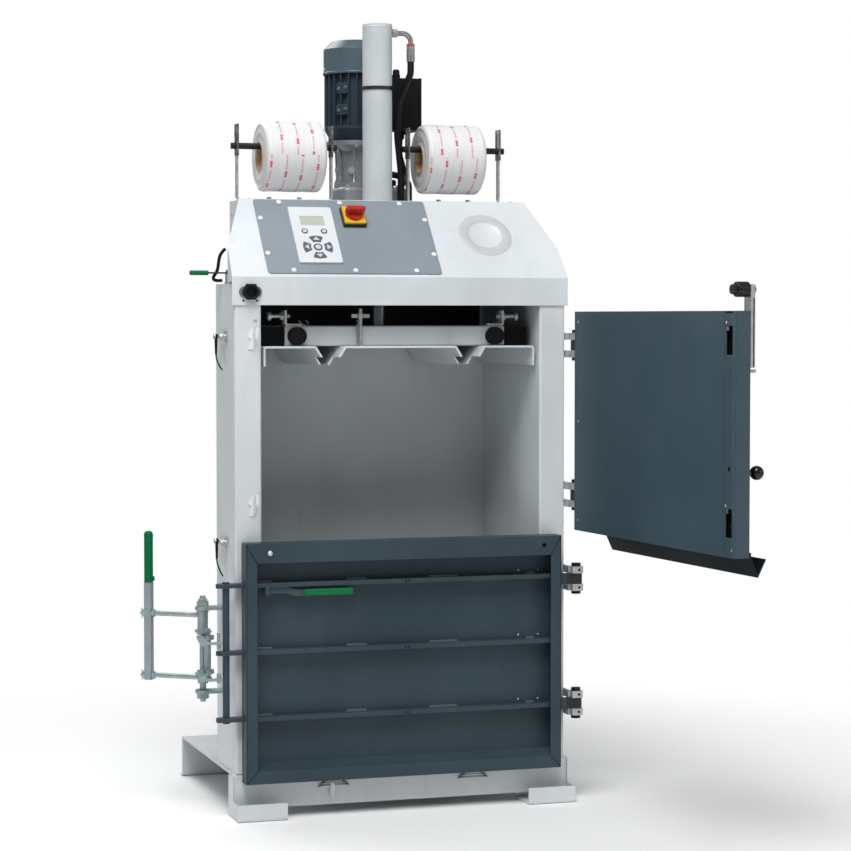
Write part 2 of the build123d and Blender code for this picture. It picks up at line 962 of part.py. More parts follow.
with BuildPart() as fan_cover:
    with BuildSketch(Plane.XZ.offset(-motor_y)):
        cover_outer = motor_radius + 2
        with BuildLine():
            Polyline(
                (cover_outer - fan_cover_wall, motor_body_top),
                (cover_outer, motor_body_top),
                (cover_outer, fan_cover_top - fan_cover_chamfer),
                (cover_outer - fan_cover_chamfer, fan_cover_top),
                (0, fan_cover_top),
                (0, fan_cover_top - fan_cover_wall),
                (cover_outer - fan_cover_chamfer - fan_cover_wall / 2, fan_cover_top - fan_cover_wall),
                (cover_outer - fan_cover_wall, fan_cover_top - fan_cover_chamfer - fan_cover_wall / 2),
                close=True,
            )
        make_face()
    revolve(axis=Axis((motor_x, motor_y, 0), (0, 0, 1)))
    with BuildSketch(Plane.XY.offset(fan_cover_top)):
        with Locations((motor_x, motor_y)):
            with PolarLocations(36, vent_count):
                SlotOverall(30, 5)
    extrude(amount=-2 * fan_cover_wall, mode=Mode.SUBTRACT)
keep(fan_cover, "fan_cover")

with BuildPart() as terminal_box:
    with BuildSketch(Plane.XY.offset(terminal_bottom)):
        with Locations((motor_x + motor_radius + terminal_width / 2 + fit, motor_y)):
            RectangleRounded(terminal_width, terminal_depth, 6)
    extrude(amount=terminal_height)
    chamfer(faces().sort_by(Axis.Z)[-1].edges(), 3)
keep(terminal_box, "terminal_box")

# Reel holders: a flat bar bent to a U, with a fork at each top end
with BuildPart() as reel_holders:
    for side in (-1, 1):
        centre = side * reel_centre
        with BuildSketch(Plane.XZ.offset(-reel_y - reel_bar_width / 2)):
            with BuildLine():
                FilletPolyline(
                    (centre - reel_half_span, reel_fork_top),
                    (centre - reel_half_span, hood_top),
                    (centre + reel_half_span, hood_top),
                    (centre + reel_half_span, reel_fork_top),
                    radius=12,
                )
                offset(amount=reel_bar, side=Side.LEFT)
            make_face()
        extrude(amount=reel_bar_width)
        fork_length = reel_fork_top - reel_rod_level + 24
        for x in (centre - reel_half_span, centre + reel_half_span - reel_bar):
            with Locations((x, reel_y - reel_fork_width / 2, reel_fork_top - fork_length)):
                Box(reel_bar, reel_fork_width, fork_length, align=MINIMUM)
        slot_width = 2 * (reel_rod_radius + slack)
        with Locations((centre, reel_y, reel_rod_level)):
            Cylinder(slot_width / 2, 3 * reel_half_span, rotation=(0, 90, 0), mode=Mode.SUBTRACT)
            Box(3 * reel_half_span, slot_width, 2 * fork_length, align=ON_FLOOR, mode=Mode.SUBTRACT)
keep(reel_holders, "reel_holders")

with BuildPart() as reel_rods:
    for side in (-1, 1):
        with Locations((side * reel_centre, reel_y, reel_rod_level)):
            Cylinder(reel_rod_radius, 2 * (reel_half_span + reel_overhang), rotation=(0, 90, 0))
keep(reel_rods, "reel_rods")

roll_level = reel_rod_level + reel_rod_radius + slack - core_inner_radius
for side, name in ((-1, "left"), (1, "right")):
    with BuildPart() as roll_core:
        with BuildSketch(Plane.YZ.offset(side * roll_centre - core_width / 2)):
            with Locations((reel_y, roll_level)):
                Circle(core_outer_radius)
                Circle(core_inner_radius, mode=Mode.SUBTRACT)
        extrude(amount=core_width)
    keep(roll_core, f"roll_core_{name}")
    with BuildPart() as strap_roll:
        with BuildSketch(Plane.YZ.offset(side * roll_centre - roll_width / 2)):
            with Locations((reel_y, roll_level)):
                Circle(roll_radius)
                Circle(core_outer_radius + fit, mode=Mode.SUBTRACT)
        extrude(amount=roll_width)
        fillet(edges().filter_by(GeomType.CIRCLE).filter_by(lambda e: e.radius > roll_radius - 1), 7)
    keep(strap_roll, f"strap_roll_{name}")

# Platen: welded frame of box beams over three folded pressing plates
with BuildPart() as platen_frame:
    for y in (beam_front, beam_front + beam_spacing):
        with BuildSketch(Plane.YZ.offset(-beam_half_length)):
            with Locations((y + beam_depth / 2, platen_level + beam_height / 2)):
                RectangleRounded(beam_depth, beam_height, beam_wall)
                RectangleRounded(
                    beam_depth - 2 * beam_wall, beam_height - 2 * beam_wall, 1, mode=Mode.SUBTRACT
                )
        extrude(amount=2 * beam_half_length)
    spine_length = beam_spacing - beam_depth
    for x in (-spine_spacing / 2, spine_spacing / 2):
        with Locations((x, beam_front + beam_depth, platen_level)):
            Box(beam_wall * 2, spine_length, beam_height, align=(Align.CENTER, Align.MIN, Align.MIN))
    with Locations((0, cylinder_y, platen_level + beam_height)):
        Box(spine_spacing + 2 * beam_wall, socket_size, socket_height, align=(Align.CENTER, Align.CENTER, Align.MAX))
    for side in (-1, 1):
        foot_x = side * (beam_half_length - buffer_radius)
        with BuildSketch(Plane.XZ.offset(-beam_front - bracket_width)):
            with BuildLine():
                FilletPolyline(
                    (side * (beam_half_length - 44), platen_level + beam_height),
                    (side * beam_half_length, platen_level + beam_height),
                    (side * beam_half_length, platen_level + bracket_height),
                    radius=7,
                )
                offset(amount=bracket_plate, side=Side.LEFT if side > 0 else Side.RIGHT)
            make_face()
        extrude(amount=bracket_width)
    with Locations(
        *[(x, beam_front + bracket_width / 2, platen_level + bracket_height - 14) for x in (-beam_half_length, beam_half_length)]
    ):
        Cylinder(guide_bolt_radius + fit, 40, rotation=(0, 90, 0), mode=Mode.SUBTRACT)
keep(platen_frame, "platen_frame")

lean = (groove_top_width - groove_bottom_width) / 2
groove_low = platen_level - groove_depth
plate_profiles = [
    [
        (-platen_half_width, platen_level - platen_skirt),
        (-platen_half_width, platen_level),
        (-groove_centre - groove_top_width / 2, platen_level),
        (-groove_centre - groove_bottom_width / 2, groove_low),
    ],
    [
        (-groove_centre + groove_bottom_width / 2, groove_low),
        (-groove_centre + groove_top_width / 2, platen_level),
        (groove_centre - groove_top_width / 2, platen_level),
        (groove_centre - groove_bottom_width / 2, groove_low),
    ],
    [
        (groove_centre + groove_bottom_width / 2, groove_low),
        (groove_centre + groove_top_width / 2, platen_level),
        (platen_half_width, platen_level),
        (platen_half_width, platen_level - platen_skirt),
    ],
]
with BuildPart() as pressing_plates:
    for profile in plate_profiles:
        with BuildSketch(Plane.XZ.offset(-platen_rear)):
            with BuildLine():
                FilletPolyline(*profile, radius=platen_sheet + 2)
                offset(amount=platen_sheet, side=Side.RIGHT)
            make_face()
        extrude(amount=platen_rear - platen_front)
    with Locations(
        *[(x, platen_front, platen_level - groove_front_depth) for x in (-groove_centre, groove_centre)]
    ):
        Box(
            groove_top_width,
            2 * groove_front_run,
            groove_depth,
            align=(Align.CENTER, Align.CENTER, Align.MAX),
            mode=Mode.SUBTRACT,
        )
keep(pressing_plates, "pressing_plates")

with BuildPart() as platen_buffers:
    with BuildSketch(Plane.XZ.offset(-beam_front)):
        with Locations(*[(x, platen_level + beam_height / 2) for x in (-buffer_spacing / 2, buffer_spacing / 2)]):
            Circle(buffer_radius)
    extrude(amount=buffer_height)
    fillet(faces().sort_by(Axis.Y)[0:2].edges(), 4)
    pad_length = platen_half_width - beam_half_length - pad_end_gap
    for side in (-1, 1):
        with Locations((side * (beam_half_length + pad_length / 2), beam_front + beam_depth / 2, platen_level)):
            Box(pad_length, pad_depth, beam_height - 2, align=ON_FLOOR)
keep(platen_buffers, "platen_buffers")

with BuildPart() as platen_hardware:
    for side in (-1, 1):
        bolt_x = side * (beam_half_length + 12)
        with Locations((bolt_x, beam_front + bracket_width / 2, platen_level + bracket_height - 14)):
            Cylinder(guide_bolt_radius, guide_bolt_length, rotation=(0, 90, 0))
        with BuildSketch(Plane.YZ.offset(side * beam_half_length)):
            with Locations((beam_front + bracket_width / 2, platen_level + bracket_height - 14)):
                RegularPolygon(10, 6, major_radius=False)
        extrude(amount=side * 8)
        with BuildSketch(Plane.YZ.offset(side * (beam_half_length + guide_bolt_length / 2 + 4))):
            with Locations((beam_front + bracket_width / 2, platen_level + bracket_height - 14)):
                Circle(12)
        extrude(amount=side * 8)
    rod_y = beam_front - clamp_rod_radius
    with Locations((clamp_rod_x, rod_y, platen_level)):
        Cylinder(clamp_rod_radius, clamp_rod_height, align=ON_FLOOR)
    with Locations((clamp_rod_x, rod_y, platen_level + clamp_rod_height - 18)):
        Cylinder(9, 12)
        Box(46, 4, 9)
keep(platen_hardware, "platen_hardware")

# Hinges: frame blocks above and below each door knuckle, and a bolt through all three
block_low = knuckle_height / 2 + knuckle_gap
with BuildPart() as hinge_blocks:
    for level in hinge_levels:
        for low in (level + block_low, level - block_low - block_height):
            with BuildSketch(Plane.XY.offset(low)):
                with Locations((hinge_x, hinge_y)):
                    RectangleRounded(block_size, block_size, 5)
                with Locations((post_outer, hinge_y)):
                    Rectangle(block_arm, block_arm_reach - hinge_y, align=(Align.MIN, Align.MIN))
                with Locations((hinge_x, hinge_y)):
                    Circle(bolt_radius + fit, mode=Mode.SUBTRACT)
            extrude(amount=block_height)
keep(hinge_blocks, "hinge_blocks")

stack = block_low + block_height
with BuildPart() as hinge_bolts:
    for level in hinge_levels:
        with Locations((hinge_x, hinge_y, level)):
            Cylinder(bolt_radius, 2 * stack)
        for low in (level + stack, level - stack - bolt_head_height):
            with BuildSketch(Plane.XY.offset(low)):
                with Locations((hinge_x, hinge_y)):
                    RegularPolygon(bolt_head_radius, 6, major_radius=False)
            extrude(amount=bolt_head_height)
keep(hinge_bolts, "hinge_bolts")

# Lower door: a deep tray with front flanges
lower_width, lower_middle = span(lower_hinge_edge, lower_free_edge)
lower_height, lower_centre = span(lower_bottom, lower_top)
door_depth, door_middle = span(lower_back, door_front)
window_height, window_centre = span(lower_bottom + bottom_rail_height, lower_top - top_rail_height)
lower_face = Plane(origin=lower.from_local_coords((0, 0, 0)), x_dir=lower.x_dir, z_dir=-lower.y_dir)
lower_barrels = knuckles(lower, hinge_levels[:2], lower_hinge_edge)
with BuildPart() as lower_door:
    with BuildSketch(lower.offset(lower_bottom)):
        with Locations((lower_middle, door_middle)):
            Rectangle(lower_width, door_depth)
    extrude(amount=lower_height)
    fillet(edges().filter_by(Axis.Z), 3)
    with BuildSketch(lower.offset(lower_bottom + lower_sheet)):
        with Locations((lower_middle, door_middle)):
            Rectangle(lower_width - 2 * lower_sheet, door_depth - 2 * lower_sheet)
    extrude(amount=lower_height - 2 * lower_sheet, mode=Mode.SUBTRACT)
    with BuildSketch(lower.offset(lower_bottom + bottom_rail_height)):
        with Locations((lower_middle, door_front)):
            Rectangle(lower_width - 2 * stile_width, 4 * lower_sheet)
    extrude(amount=window_height, mode=Mode.SUBTRACT)
    hole_places = [
        lower.from_local_coords((s, door_front, rail_hole_level))
        for s in (lower_hinge_edge + rail_hole_offset - 14, lower_free_edge - rail_hole_offset)
    ]
    with Locations(*[tuple(p) for p in hole_places]):
        Cylinder(rail_hole_radius, 4 * lower_sheet, rotation=(90, 0, 0), mode=Mode.SUBTRACT)
    with Locations(tuple(hole_places[-1])):
        Cylinder(rail_hole_radius + 1.5, 2, rotation=(90, 0, 0), align=ON_FLOOR)
    ledge_length, _ = span(lower_hinge_edge + lower_sheet, lower_free_edge - lower_sheet)
    ledge_start = lower.from_local_coords((lower_hinge_edge + lower_sheet, 0, 0))
    with BuildSketch(Plane(origin=ledge_start, x_dir=lower.y_dir, z_dir=lower.x_dir)):
        rail_top = lower_bottom + bottom_rail_height
        with BuildLine():
            Polyline(
                (door_front - lower_sheet, rail_top - lower_sheet),
                (door_front - lower_sheet, rail_top),
                (lower_back + lower_sheet, rail_top + ledge_rise),
                (lower_back + lower_sheet, rail_top + ledge_rise - lower_sheet),
                close=True,
            )
        make_face()
    extrude(amount=ledge_length)
    add(lower_barrels)
keep(lower_door, "lower_door")

rib_back = lower_back + lower_sheet
with BuildPart() as lower_door_ribs:
    for level in rib_levels:
        with BuildSketch(lower.offset(level - rib_thickness / 2)):
            rib_depth, rib_middle = span(rib_back, rib_front)
            with Locations((lower_middle, rib_middle)):
                Rectangle(lower_width - 2 * lower_sheet, rib_depth)
        extrude(amount=rib_thickness)
        with BuildSketch(lower.offset(level - rib_thickness / 2)):
            with Locations((lower_free_edge, lock_bar_t)):
                Rectangle(lug_reach - lug_half_width, 2 * lug_half_width, align=(Align.MIN, Align.CENTER))
            with Locations((lower_free_edge + lug_reach - lug_half_width, lock_bar_t)):
                Circle(lug_half_width)
            with Locations((lock_bar_s, lock_bar_t)):
                Circle(lock_bar_radius + fit, mode=Mode.SUBTRACT)
        extrude(amount=rib_thickness)
    with BuildSketch(lower.offset(rib_levels[-1] - rib_thickness / 2 - lever_height - slack - 3)):
        with Locations((lever_pivot_s, 0)):
            Circle(lever_pin_radius)
    extrude(amount=lever_height + slack + 3 + rib_thickness)
    with BuildSketch(lower.offset(rib_levels[-1] - rib_thickness / 2 - lever_height - 2 * slack - 3)):
        with Locations((lever_pivot_s, 0)):
            Circle(lever_pin_radius + 3)
    extrude(amount=3)
keep(lower_door_ribs, "lower_door_ribs")

with BuildPart() as lock_bar:
    with BuildSketch(lower.offset(rib_levels[0] - lock_bar_overhang)):
        with Locations((lock_bar_s, lock_bar_t)):
            Circle(lock_bar_radius)
    extrude(amount=rib_levels[-1] - rib_levels[0] + 2 * lock_bar_overhang)
keep(lock_bar, "lock_bar")

# Release lever under the top rib
rib_underside = rib_levels[-1] - rib_thickness / 2
lever_top = rib_underside - slack
lever_middle = lever_top - lever_drop - lever_height / 2
with BuildPart() as release_lever:
    with BuildSketch(lower.offset(lever_top - lever_height)):
        with Locations((lever_pivot_s, 0)):
            Circle(lever_knuckle_radius)
    extrude(amount=lever_height)
    with BuildSketch(lower_face.offset(-lever_thickness / 2)):
        with BuildLine():
            Polyline(
                (lever_pivot_s, lever_top),
                (lever_pivot_s - 0.5 * lever_length, lever_top),
                (lever_pivot_s - 0.75 * lever_length, lever_top - lever_drop),
                (lever_pivot_s - lever_length, lever_top - lever_drop),
                (lever_pivot_s - lever_length, lever_top - lever_drop - lever_height + 3),
                (lever_pivot_s - 0.75 * lever_length, lever_top - lever_drop - lever_height + 3),
                (lever_pivot_s - 0.5 * lever_length, lever_top - lever_height + 3),
                (lever_pivot_s, lever_top - lever_height + 3),
                close=True,
            )
        make_face()
    extrude(amount=lever_thickness)
    with BuildSketch(lower.offset(lever_top - lever_height - 1)):
        with Locations((lever_pivot_s, 0)):
            Circle(lever_pin_radius + fit)
    extrude(amount=lever_height + 2, mode=Mode.SUBTRACT)
    grip_middle = lever_top - lever_drop - (lever_height - 3) / 2
    grip_start = lever_pivot_s - lever_length
    grip_plane = Plane(
        origin=lower.from_local_coords((grip_start, 0, grip_middle)), x_dir=(0, 0, 1), z_dir=-lower.x_dir
    )
    with BuildSketch(grip_plane):
        SlotOverall(2 * grip_radius + 2, 2 * grip_radius - 4)
    extrude(amount=grip_length)
    fillet(faces().sort_by(Axis((0, 0, 0), grip_plane.z_dir))[-1].edges(), 3)
keep(release_lever, "release_lever")

# Upper door: folded outer tray, flat liner, apron, latch and interlock plug
upper_width, upper_middle = span(upper_hinge_edge, upper_free_edge)
upper_height = upper_top - upper_bottom
shell_depth, shell_centre = span(upper_back + liner_sheet, door_front)
stem_s = keeper_s
upper_barrels = knuckles(upper, hinge_levels[2:], upper_hinge_edge)
with BuildPart() as upper_door:
    with BuildSketch(upper.offset(upper_bottom)):
        with Locations((upper_middle, shell_centre)):
            Rectangle(upper_width, shell_depth)
    extrude(amount=upper_height)
    fillet(edges().filter_by(Axis.Z), 2.4)
    with BuildSketch(upper.offset(upper_bottom + upper_sheet)):
        with Locations((upper_middle, shell_centre - upper_sheet)):
            Rectangle(upper_width - 2 * upper_sheet, shell_depth)
    extrude(amount=upper_height - 2 * upper_sheet, mode=Mode.SUBTRACT)
    with BuildSketch(upper.offset(ball_level)):
        with Locations((stem_s, door_front)):
            Rectangle(2 * (ball_stem_radius + 1), 6 * upper_sheet)
    extrude(amount=latch_lift + 2 * (ball_stem_radius + 2), both=True, mode=Mode.SUBTRACT)
    liner_depth, liner_centre = span(upper_back, upper_back + liner_sheet)
    with BuildSketch(upper.offset(upper_bottom)):
        with Locations((upper_middle, liner_centre)):
            Rectangle(upper_width, liner_depth)
    extrude(amount=upper_height)
    for level in keeper_levels:
        with BuildSketch(upper.offset(level - keeper_slot_height / 2)):
            with Locations((keeper_s, liner_centre)):
                Rectangle(keeper_slot_width, 4 * liner_sheet)
        extrude(amount=keeper_slot_height, mode=Mode.SUBTRACT)
    with Locations(upper.offset(liner_hole_level)):
        with Locations((keeper_s, liner_centre)):
            Cylinder(liner_hole_radius, 4 * liner_sheet, rotation=(90, 0, 0), mode=Mode.SUBTRACT)
    add(upper_barrels)
keep(upper_door, "upper_door")

# Apron: a V-shaped sheet under the outer face
upper_end = Plane(
    origin=upper.from_local_coords((apron_start, 0, 0)), x_dir=upper.y_dir, z_dir=upper.x_dir
)
with BuildPart() as door_apron:
    with BuildSketch(upper_end):
        with BuildLine():
            Polyline(
                (door_front + slack, upper_bottom + 12),
                (door_front + slack, upper_bottom),
                (door_front + apron_low_t, upper_bottom - apron_drop),
                (door_front + apron_high_t, upper_bottom - apron_drop + apron_rise),
            )
            offset(amount=apron_sheet, side=Side.LEFT)
        make_face()
    extrude(amount=upper_free_edge - apron_start)
keep(door_apron, "door_apron")

plug_plane = Plane(
    origin=upper.from_local_coords((keeper_s + plug_offset, door_front, plug_level)), x_dir=upper.x_dir, z_dir=-upper.y_dir
)
with BuildPart() as interlock_strip:
    strip_length, strip_middle = span(strip_bottom, strip_top)
    with BuildSketch(upper.offset(strip_bottom)):
        with Locations((keeper_s + plug_offset, door_front)):
            Rectangle(strip_width, strip_depth, align=(Align.CENTER, Align.MIN))
        with Locations((keeper_s + plug_offset, door_front + strip_sheet)):
            Rectangle(strip_width - 2 * strip_sheet, strip_depth, align=(Align.CENTER, Align.MIN), mode=Mode.SUBTRACT)
    extrude(amount=strip_length)
    with BuildSketch(plug_plane.offset(-strip_pin_length)):
        with Locations((0, strip_bottom - strip_pin_drop - plug_level)):
            Circle(strip_pin_radius)
    extrude(amount=strip_pin_length)
keep(interlock_strip, "interlock_strip")

with BuildPart() as interlock_plug:
    with BuildSketch(plug_plane):
        Circle(plug_radius)
    extrude(amount=door_front - plug_shoulder_t)
    fillet(edges().filter_by(GeomType.CIRCLE), 2)
    with BuildSketch(plug_plane.offset(door_front - plug_shoulder_t)):
        Circle(plug_nose_radius)
    extrude(amount=plug_shoulder_t - plug_tip_t)
keep(interlock_plug, "interlock_plug")

# Latch bar inside the upper door: two noses that pass under the keepers' lips
latch_s = keeper_s - latch_bar_offset
nose_t = hinge_y + keeper_back + 7
latch_low = keeper_levels[0] - 60
latch_high = keeper_levels[1] + 40
nose_tops = [level - latch_running_gap for level in keeper_levels]
with BuildPart() as latch_bar:
    with BuildSketch(upper.offset(latch_low)):
        with Locations((latch_s, nose_t)):
            Rectangle(latch_bar_width, latch_bar_thickness)
    extrude(amount=latch_high - latch_low)
    for top in nose_tops:
        with BuildSketch(upper.offset(top - latch_nose_height)):
            with Locations((latch_s, nose_t)):
                Rectangle(
                    latch_bar_offset + keeper_thickness,
                    latch_bar_thickness,
                    align=(Align.MIN, Align.CENTER),
                )
        extrude(amount=latch_nose_height)
    with BuildSketch(upper.offset(ball_level - 9)):
        with Locations((latch_s, nose_t)):
            Rectangle(latch_bar_offset + 9, latch_bar_thickness, align=(Align.MIN, Align.CENTER))
    extrude(amount=18)
keep(latch_bar, "latch_bar")

stem_plane = Plane(
    origin=upper.from_local_coords((stem_s, nose_t + latch_bar_thickness / 2, ball_level)),
    x_dir=upper.x_dir,
    z_dir=upper.y_dir,
)
with BuildPart() as ball_knob:
    ball_reach = door_front + ball_stand - nose_t - latch_bar_thickness / 2
    with BuildSketch(stem_plane):
        Circle(ball_stem_radius)
    extrude(amount=ball_reach)
    with Locations(stem_plane.offset(ball_reach)):
        Sphere(ball_radius)
keep(ball_knob, "ball_knob")

# Keepers on the left post: hooks whose lips point down over the latch noses
keeper_x = hinge_x - keeper_s
with BuildPart() as keepers:
    for level in keeper_levels:
        with BuildSketch(Plane.YZ.offset(keeper_x - keeper_thickness / 2)):
            top = level + keeper_slot_height / 2 - 6
            with BuildLine():
                Polyline(
                    (0, top),
                    (-keeper_reach, top),
                    (-keeper_reach, top - keeper_arm_height - keeper_lip_rise),
                    (-keeper_reach + keeper_lip, top - keeper_arm_height - keeper_lip_rise),
                    (-keeper_reach + keeper_lip, top - keeper_arm_height),
                    (-keeper_back + 1, top - keeper_arm_height),
                    (-2, level - keeper_slot_height / 2 + 10),
                    (0, level - keeper_slot_height / 2 + 10),
                    close=True,
                )
            make_face()
        extrude(amount=keeper_thickness)
keep(keepers, "keepers")

# Toggle latch: brackets and pivot pin on the post, a swinging handle and a claw
bracket_levels = (toggle_bottom + toggle_nut_height, toggle_top - toggle_nut_height - toggle_bracket_thickness)
with BuildPart() as toggle_mount:
    for level in bracket_levels:
        with BuildSketch(Plane.XY.offset(level)):
            with Locations((-post_outer, toggle_y)):
                Rectangle(-post_outer - toggle_x, toggle_bracket_width, align=(Align.MAX, Align.CENTER))
            with Locations((toggle_x, toggle_y)):
                Circle(toggle_bracket_width / 2)
        extrude(amount=toggle_bracket_thickness)
    with BuildSketch(Plane.XY.offset(toggle_bottom)):
        with Locations((toggle_x, toggle_y)):
            Circle(toggle_pin_radius)
    extrude(amount=toggle_top - toggle_bottom)
    for level in (toggle_bottom, toggle_top - toggle_nut_height):
        with BuildSketch(Plane.XY.offset(level)):
            with Locations((toggle_x, toggle_y)):
                RegularPolygon(toggle_nut_radius, 6, major_radius=False)
        extrude(amount=toggle_nut_height)
keep(toggle_mount, "toggle_mount")

handle_turn = math.radians(handle_angle)
handle_plane = Plane(
    origin=(toggle_x, toggle_y, 0), x_dir=(math.cos(handle_turn), math.sin(handle_turn), 0), z_dir=(0, 0, 1)
)
crank_turn = math.radians(crank_angle)
crank_plane = Plane(
    origin=(toggle_x, toggle_y, 0), x_dir=(math.cos(crank_turn), math.sin(crank_turn), 0), z_dir=(0, 0, 1)
)
claw_pivot = crank_plane.from_local_coords((crank_throw, 0, 0))
rod_side = Plane(origin=handle_plane.origin, x_dir=handle_plane.y_dir, z_dir=handle_plane.x_dir)
sleeve_spans = (
    (sleeve_bottom, sleeve_bottom + sleeve_height),
    (crank_levels[-1], bracket_levels[-1] - sleeve_gap),
)
with BuildPart() as toggle_handle:
    for low, high in sleeve_spans:
        with BuildSketch(handle_plane.offset(low)):
            Circle(sleeve_radius)
        extrude(amount=high - low)
    with BuildSketch(rod_side):
        with Locations(*[(0, level) for level in handle_rod_levels]):
            Circle(handle_rod_radius)
    extrude(amount=handle_length)
    with BuildSketch(rod_side.offset(handle_length)):
        with Locations(*[(0, level) for level in handle_rod_levels]):
            RegularPolygon(handle_nut_radius, 6, major_radius=False)
    extrude(amount=handle_bar_thickness / 2 + handle_nut_height)
    with BuildSketch(handle_plane.offset(handle_bar_bottom)):
        with Locations((handle_length, 0)):
            Rectangle(handle_bar_thickness, handle_bar_width)
    extrude(amount=handle_bar_top - handle_bar_bottom)
    for level in crank_levels:
        with BuildSketch(crank_plane.offset(level)):
            SlotCenterToCenter(crank_throw, 2 * crank_half_width)
        extrude(amount=crank_thickness)
    with BuildSketch(crank_plane.offset(crank_levels[0])):
        with Locations((crank_throw, 0)):
            Circle(crank_pin_radius)
    extrude(amount=crank_levels[-1] + crank_thickness - crank_levels[0])
    with BuildSketch(crank_plane.offset(toggle_bottom)):
        Circle(toggle_pin_radius + fit)
    extrude(amount=toggle_top - toggle_bottom, mode=Mode.SUBTRACT)
keep(toggle_handle, "toggle_handle")

with BuildPart() as toggle_grip:
    with BuildSketch(handle_plane.offset(handle_bar_top)):
        with Locations((handle_length, 0)):
            Circle(handle_grip_radius)
    extrude(amount=handle_grip_top - handle_bar_top)
    fillet(faces().sort_by(Axis.Z)[-1].edges(), 6)
keep(toggle_grip, "toggle_grip")

# Claw that hooks round the lock bar, shown swung clear of it
lock_place = lower.from_local_coords((lock_bar_s, lock_bar_t, 0))
claw_reach = math.hypot(lock_place.X - claw_pivot.X, lock_place.Y - claw_pivot.Y)
claw_turn = math.atan2(lock_place.Y - claw_pivot.Y, lock_place.X - claw_pivot.X) - math.radians(claw_release)
claw_plane = Plane(
    origin=(claw_pivot.X, claw_pivot.Y, 0), x_dir=(math.cos(claw_turn), math.sin(claw_turn), 0), z_dir=(0, 0, 1)
)
tooth_start = claw_reach + lock_bar_radius + claw_mouth
arm_inner = -claw_arm_offset + claw_arm_width / 2
with BuildPart() as toggle_claw:
    for level in claw_levels:
        with BuildSketch(claw_plane.offset(level)):
            with Locations((0, -claw_arm_offset)):
                Rectangle(tooth_start + claw_tooth, claw_arm_width, align=(Align.MIN, Align.CENTER))
            with Locations((tooth_start, arm_inner)):
                Rectangle(claw_tooth, claw_tooth_reach - arm_inner, align=(Align.MIN, Align.MIN))
            fillet(vertices().sort_by(Axis.X)[-4:], 2)
            Circle(claw_hub_radius)
        extrude(amount=claw_thickness)
    with BuildSketch(claw_plane.offset(claw_levels[0])):
        Circle(claw_tube_radius)
    extrude(amount=claw_levels[-1] + claw_thickness - claw_levels[0])
    with BuildSketch(claw_plane.offset(claw_levels[0])):
        Circle(crank_pin_radius + fit)
    extrude(amount=claw_levels[-1] + claw_thickness - claw_levels[0], mode=Mode.SUBTRACT)
    with BuildSketch(claw_plane.offset(claw_levels[-1] - 6)):
        with Locations((tooth_start + claw_tooth / 2, claw_tooth_reach - 8)):
            Circle(claw_pin_radius)
    extrude(amount=claw_pin_height + 6)
keep(toggle_claw, "toggle_claw")

# Catches with hanging rubber loops, and the stand of the small hand lever
arm_face = -post_outer - catch_plate - catch_boss_length
tongue_face = arm_face - catch_arm_thickness
tongue_y = catch_y + catch_arm_length
with BuildPart() as side_fittings:
    for level in catch_levels:
        with Locations((-post_outer, catch_y, level)):
            Box(catch_plate, catch_width, catch_height, align=(Align.MAX, Align.CENTER, Align.CENTER))
        with BuildSketch(Plane.YZ.offset(-post_outer - catch_plate)):
            with Locations((catch_y, level)):
                Circle(catch_boss_radius)
        extrude(amount=-catch_boss_length)
        with BuildSketch(Plane.YZ.offset(arm_face)):
            with Locations(((catch_y + tongue_y) / 2, level)):
                SlotCenterToCenter(catch_arm_length, catch_arm_height)
            with Locations((catch_y, level)):
                Circle(catch_boss_radius + 3)
        extrude(amount=-catch_arm_thickness)
        with BuildSketch(Plane.YZ.offset(tongue_face)):
            with Locations((catch_y, level)):
                RegularPolygon(catch_boss_radius, 6, major_radius=False)
        extrude(amount=-catch_head_height)
        with BuildSketch(Plane.YZ.offset(tongue_face)):
            with Locations((tongue_y, level)):
                Circle(catch_pin_radius)
        extrude(amount=-tongue_thickness - catch_head_height)
        with BuildSketch(Plane.YZ.offset(tongue_face - tongue_thickness)):
            with Locations((tongue_y, level)):
                RegularPolygon(catch_head_radius, 6, major_radius=False)
        extrude(amount=-catch_head_height)
    with BuildSketch(Plane.XY.offset(post_top)):
        with Locations((hand_lever_x, hand_lever_y)):
            Circle(hand_post_radius)
    extrude(amount=hand_lever_level - post_top)
    with BuildSketch(Plane.XY.offset(hand_lever_level)):
        with Locations((hand_lever_x, hand_lever_y)):
            Circle(hand_pin_radius)
    extrude(amount=hand_lever_thickness + 2 * slack)
    with BuildSketch(Plane.XY.offset(hand_lever_level + hand_lever_thickness + 2 * slack)):
        with Locations((hand_lever_x, hand_lever_y)):
            RegularPolygon(2 * hand_pin_radius, 6, major_radius=False)
    extrude(amount=5)
keep(side_fittings, "side_fittings")

with BuildPart() as catch_loops:
    for level in catch_levels:
        tail_x = tongue_face - tongue_thickness / 2
        tail_top = level - tongue_length + 3
        with BuildSketch(Plane.YZ.offset(tongue_face)):
            with BuildLine():
                Polyline(
                    (tongue_y - tongue_width / 2, level + tongue_width / 2 - 4),
                    (tongue_y + tongue_width / 2, level + tongue_width / 2 - 4),
                    (tongue_y + tongue_tip_width / 2, level - tongue_length),
                    (tongue_y - tongue_tip_width / 2, level - tongue_length),
                    close=True,
                )
            make_face()
            fillet(vertices(), 2)
            with Locations((tongue_y, level)):
                Circle(catch_pin_radius + fit, mode=Mode.SUBTRACT)
        extrude(amount=-tongue_thickness)
        with BuildLine() as tail_path:
            Spline(
                (tail_x, tongue_y, tail_top),
                (tail_x, tongue_y - 0.22 * loop_run, level - 0.84 * loop_drop),
                (tail_x, tongue_y - loop_run, level - loop_drop - 8),
                tangents=((0, 0, -1), (0, -1, -0.15)),
            )
        with BuildSketch(Plane.XY.offset(tail_top)):
            with Locations((tail_x, tongue_y)):
                Circle(loop_radius)
        sweep(path=tail_path.line)
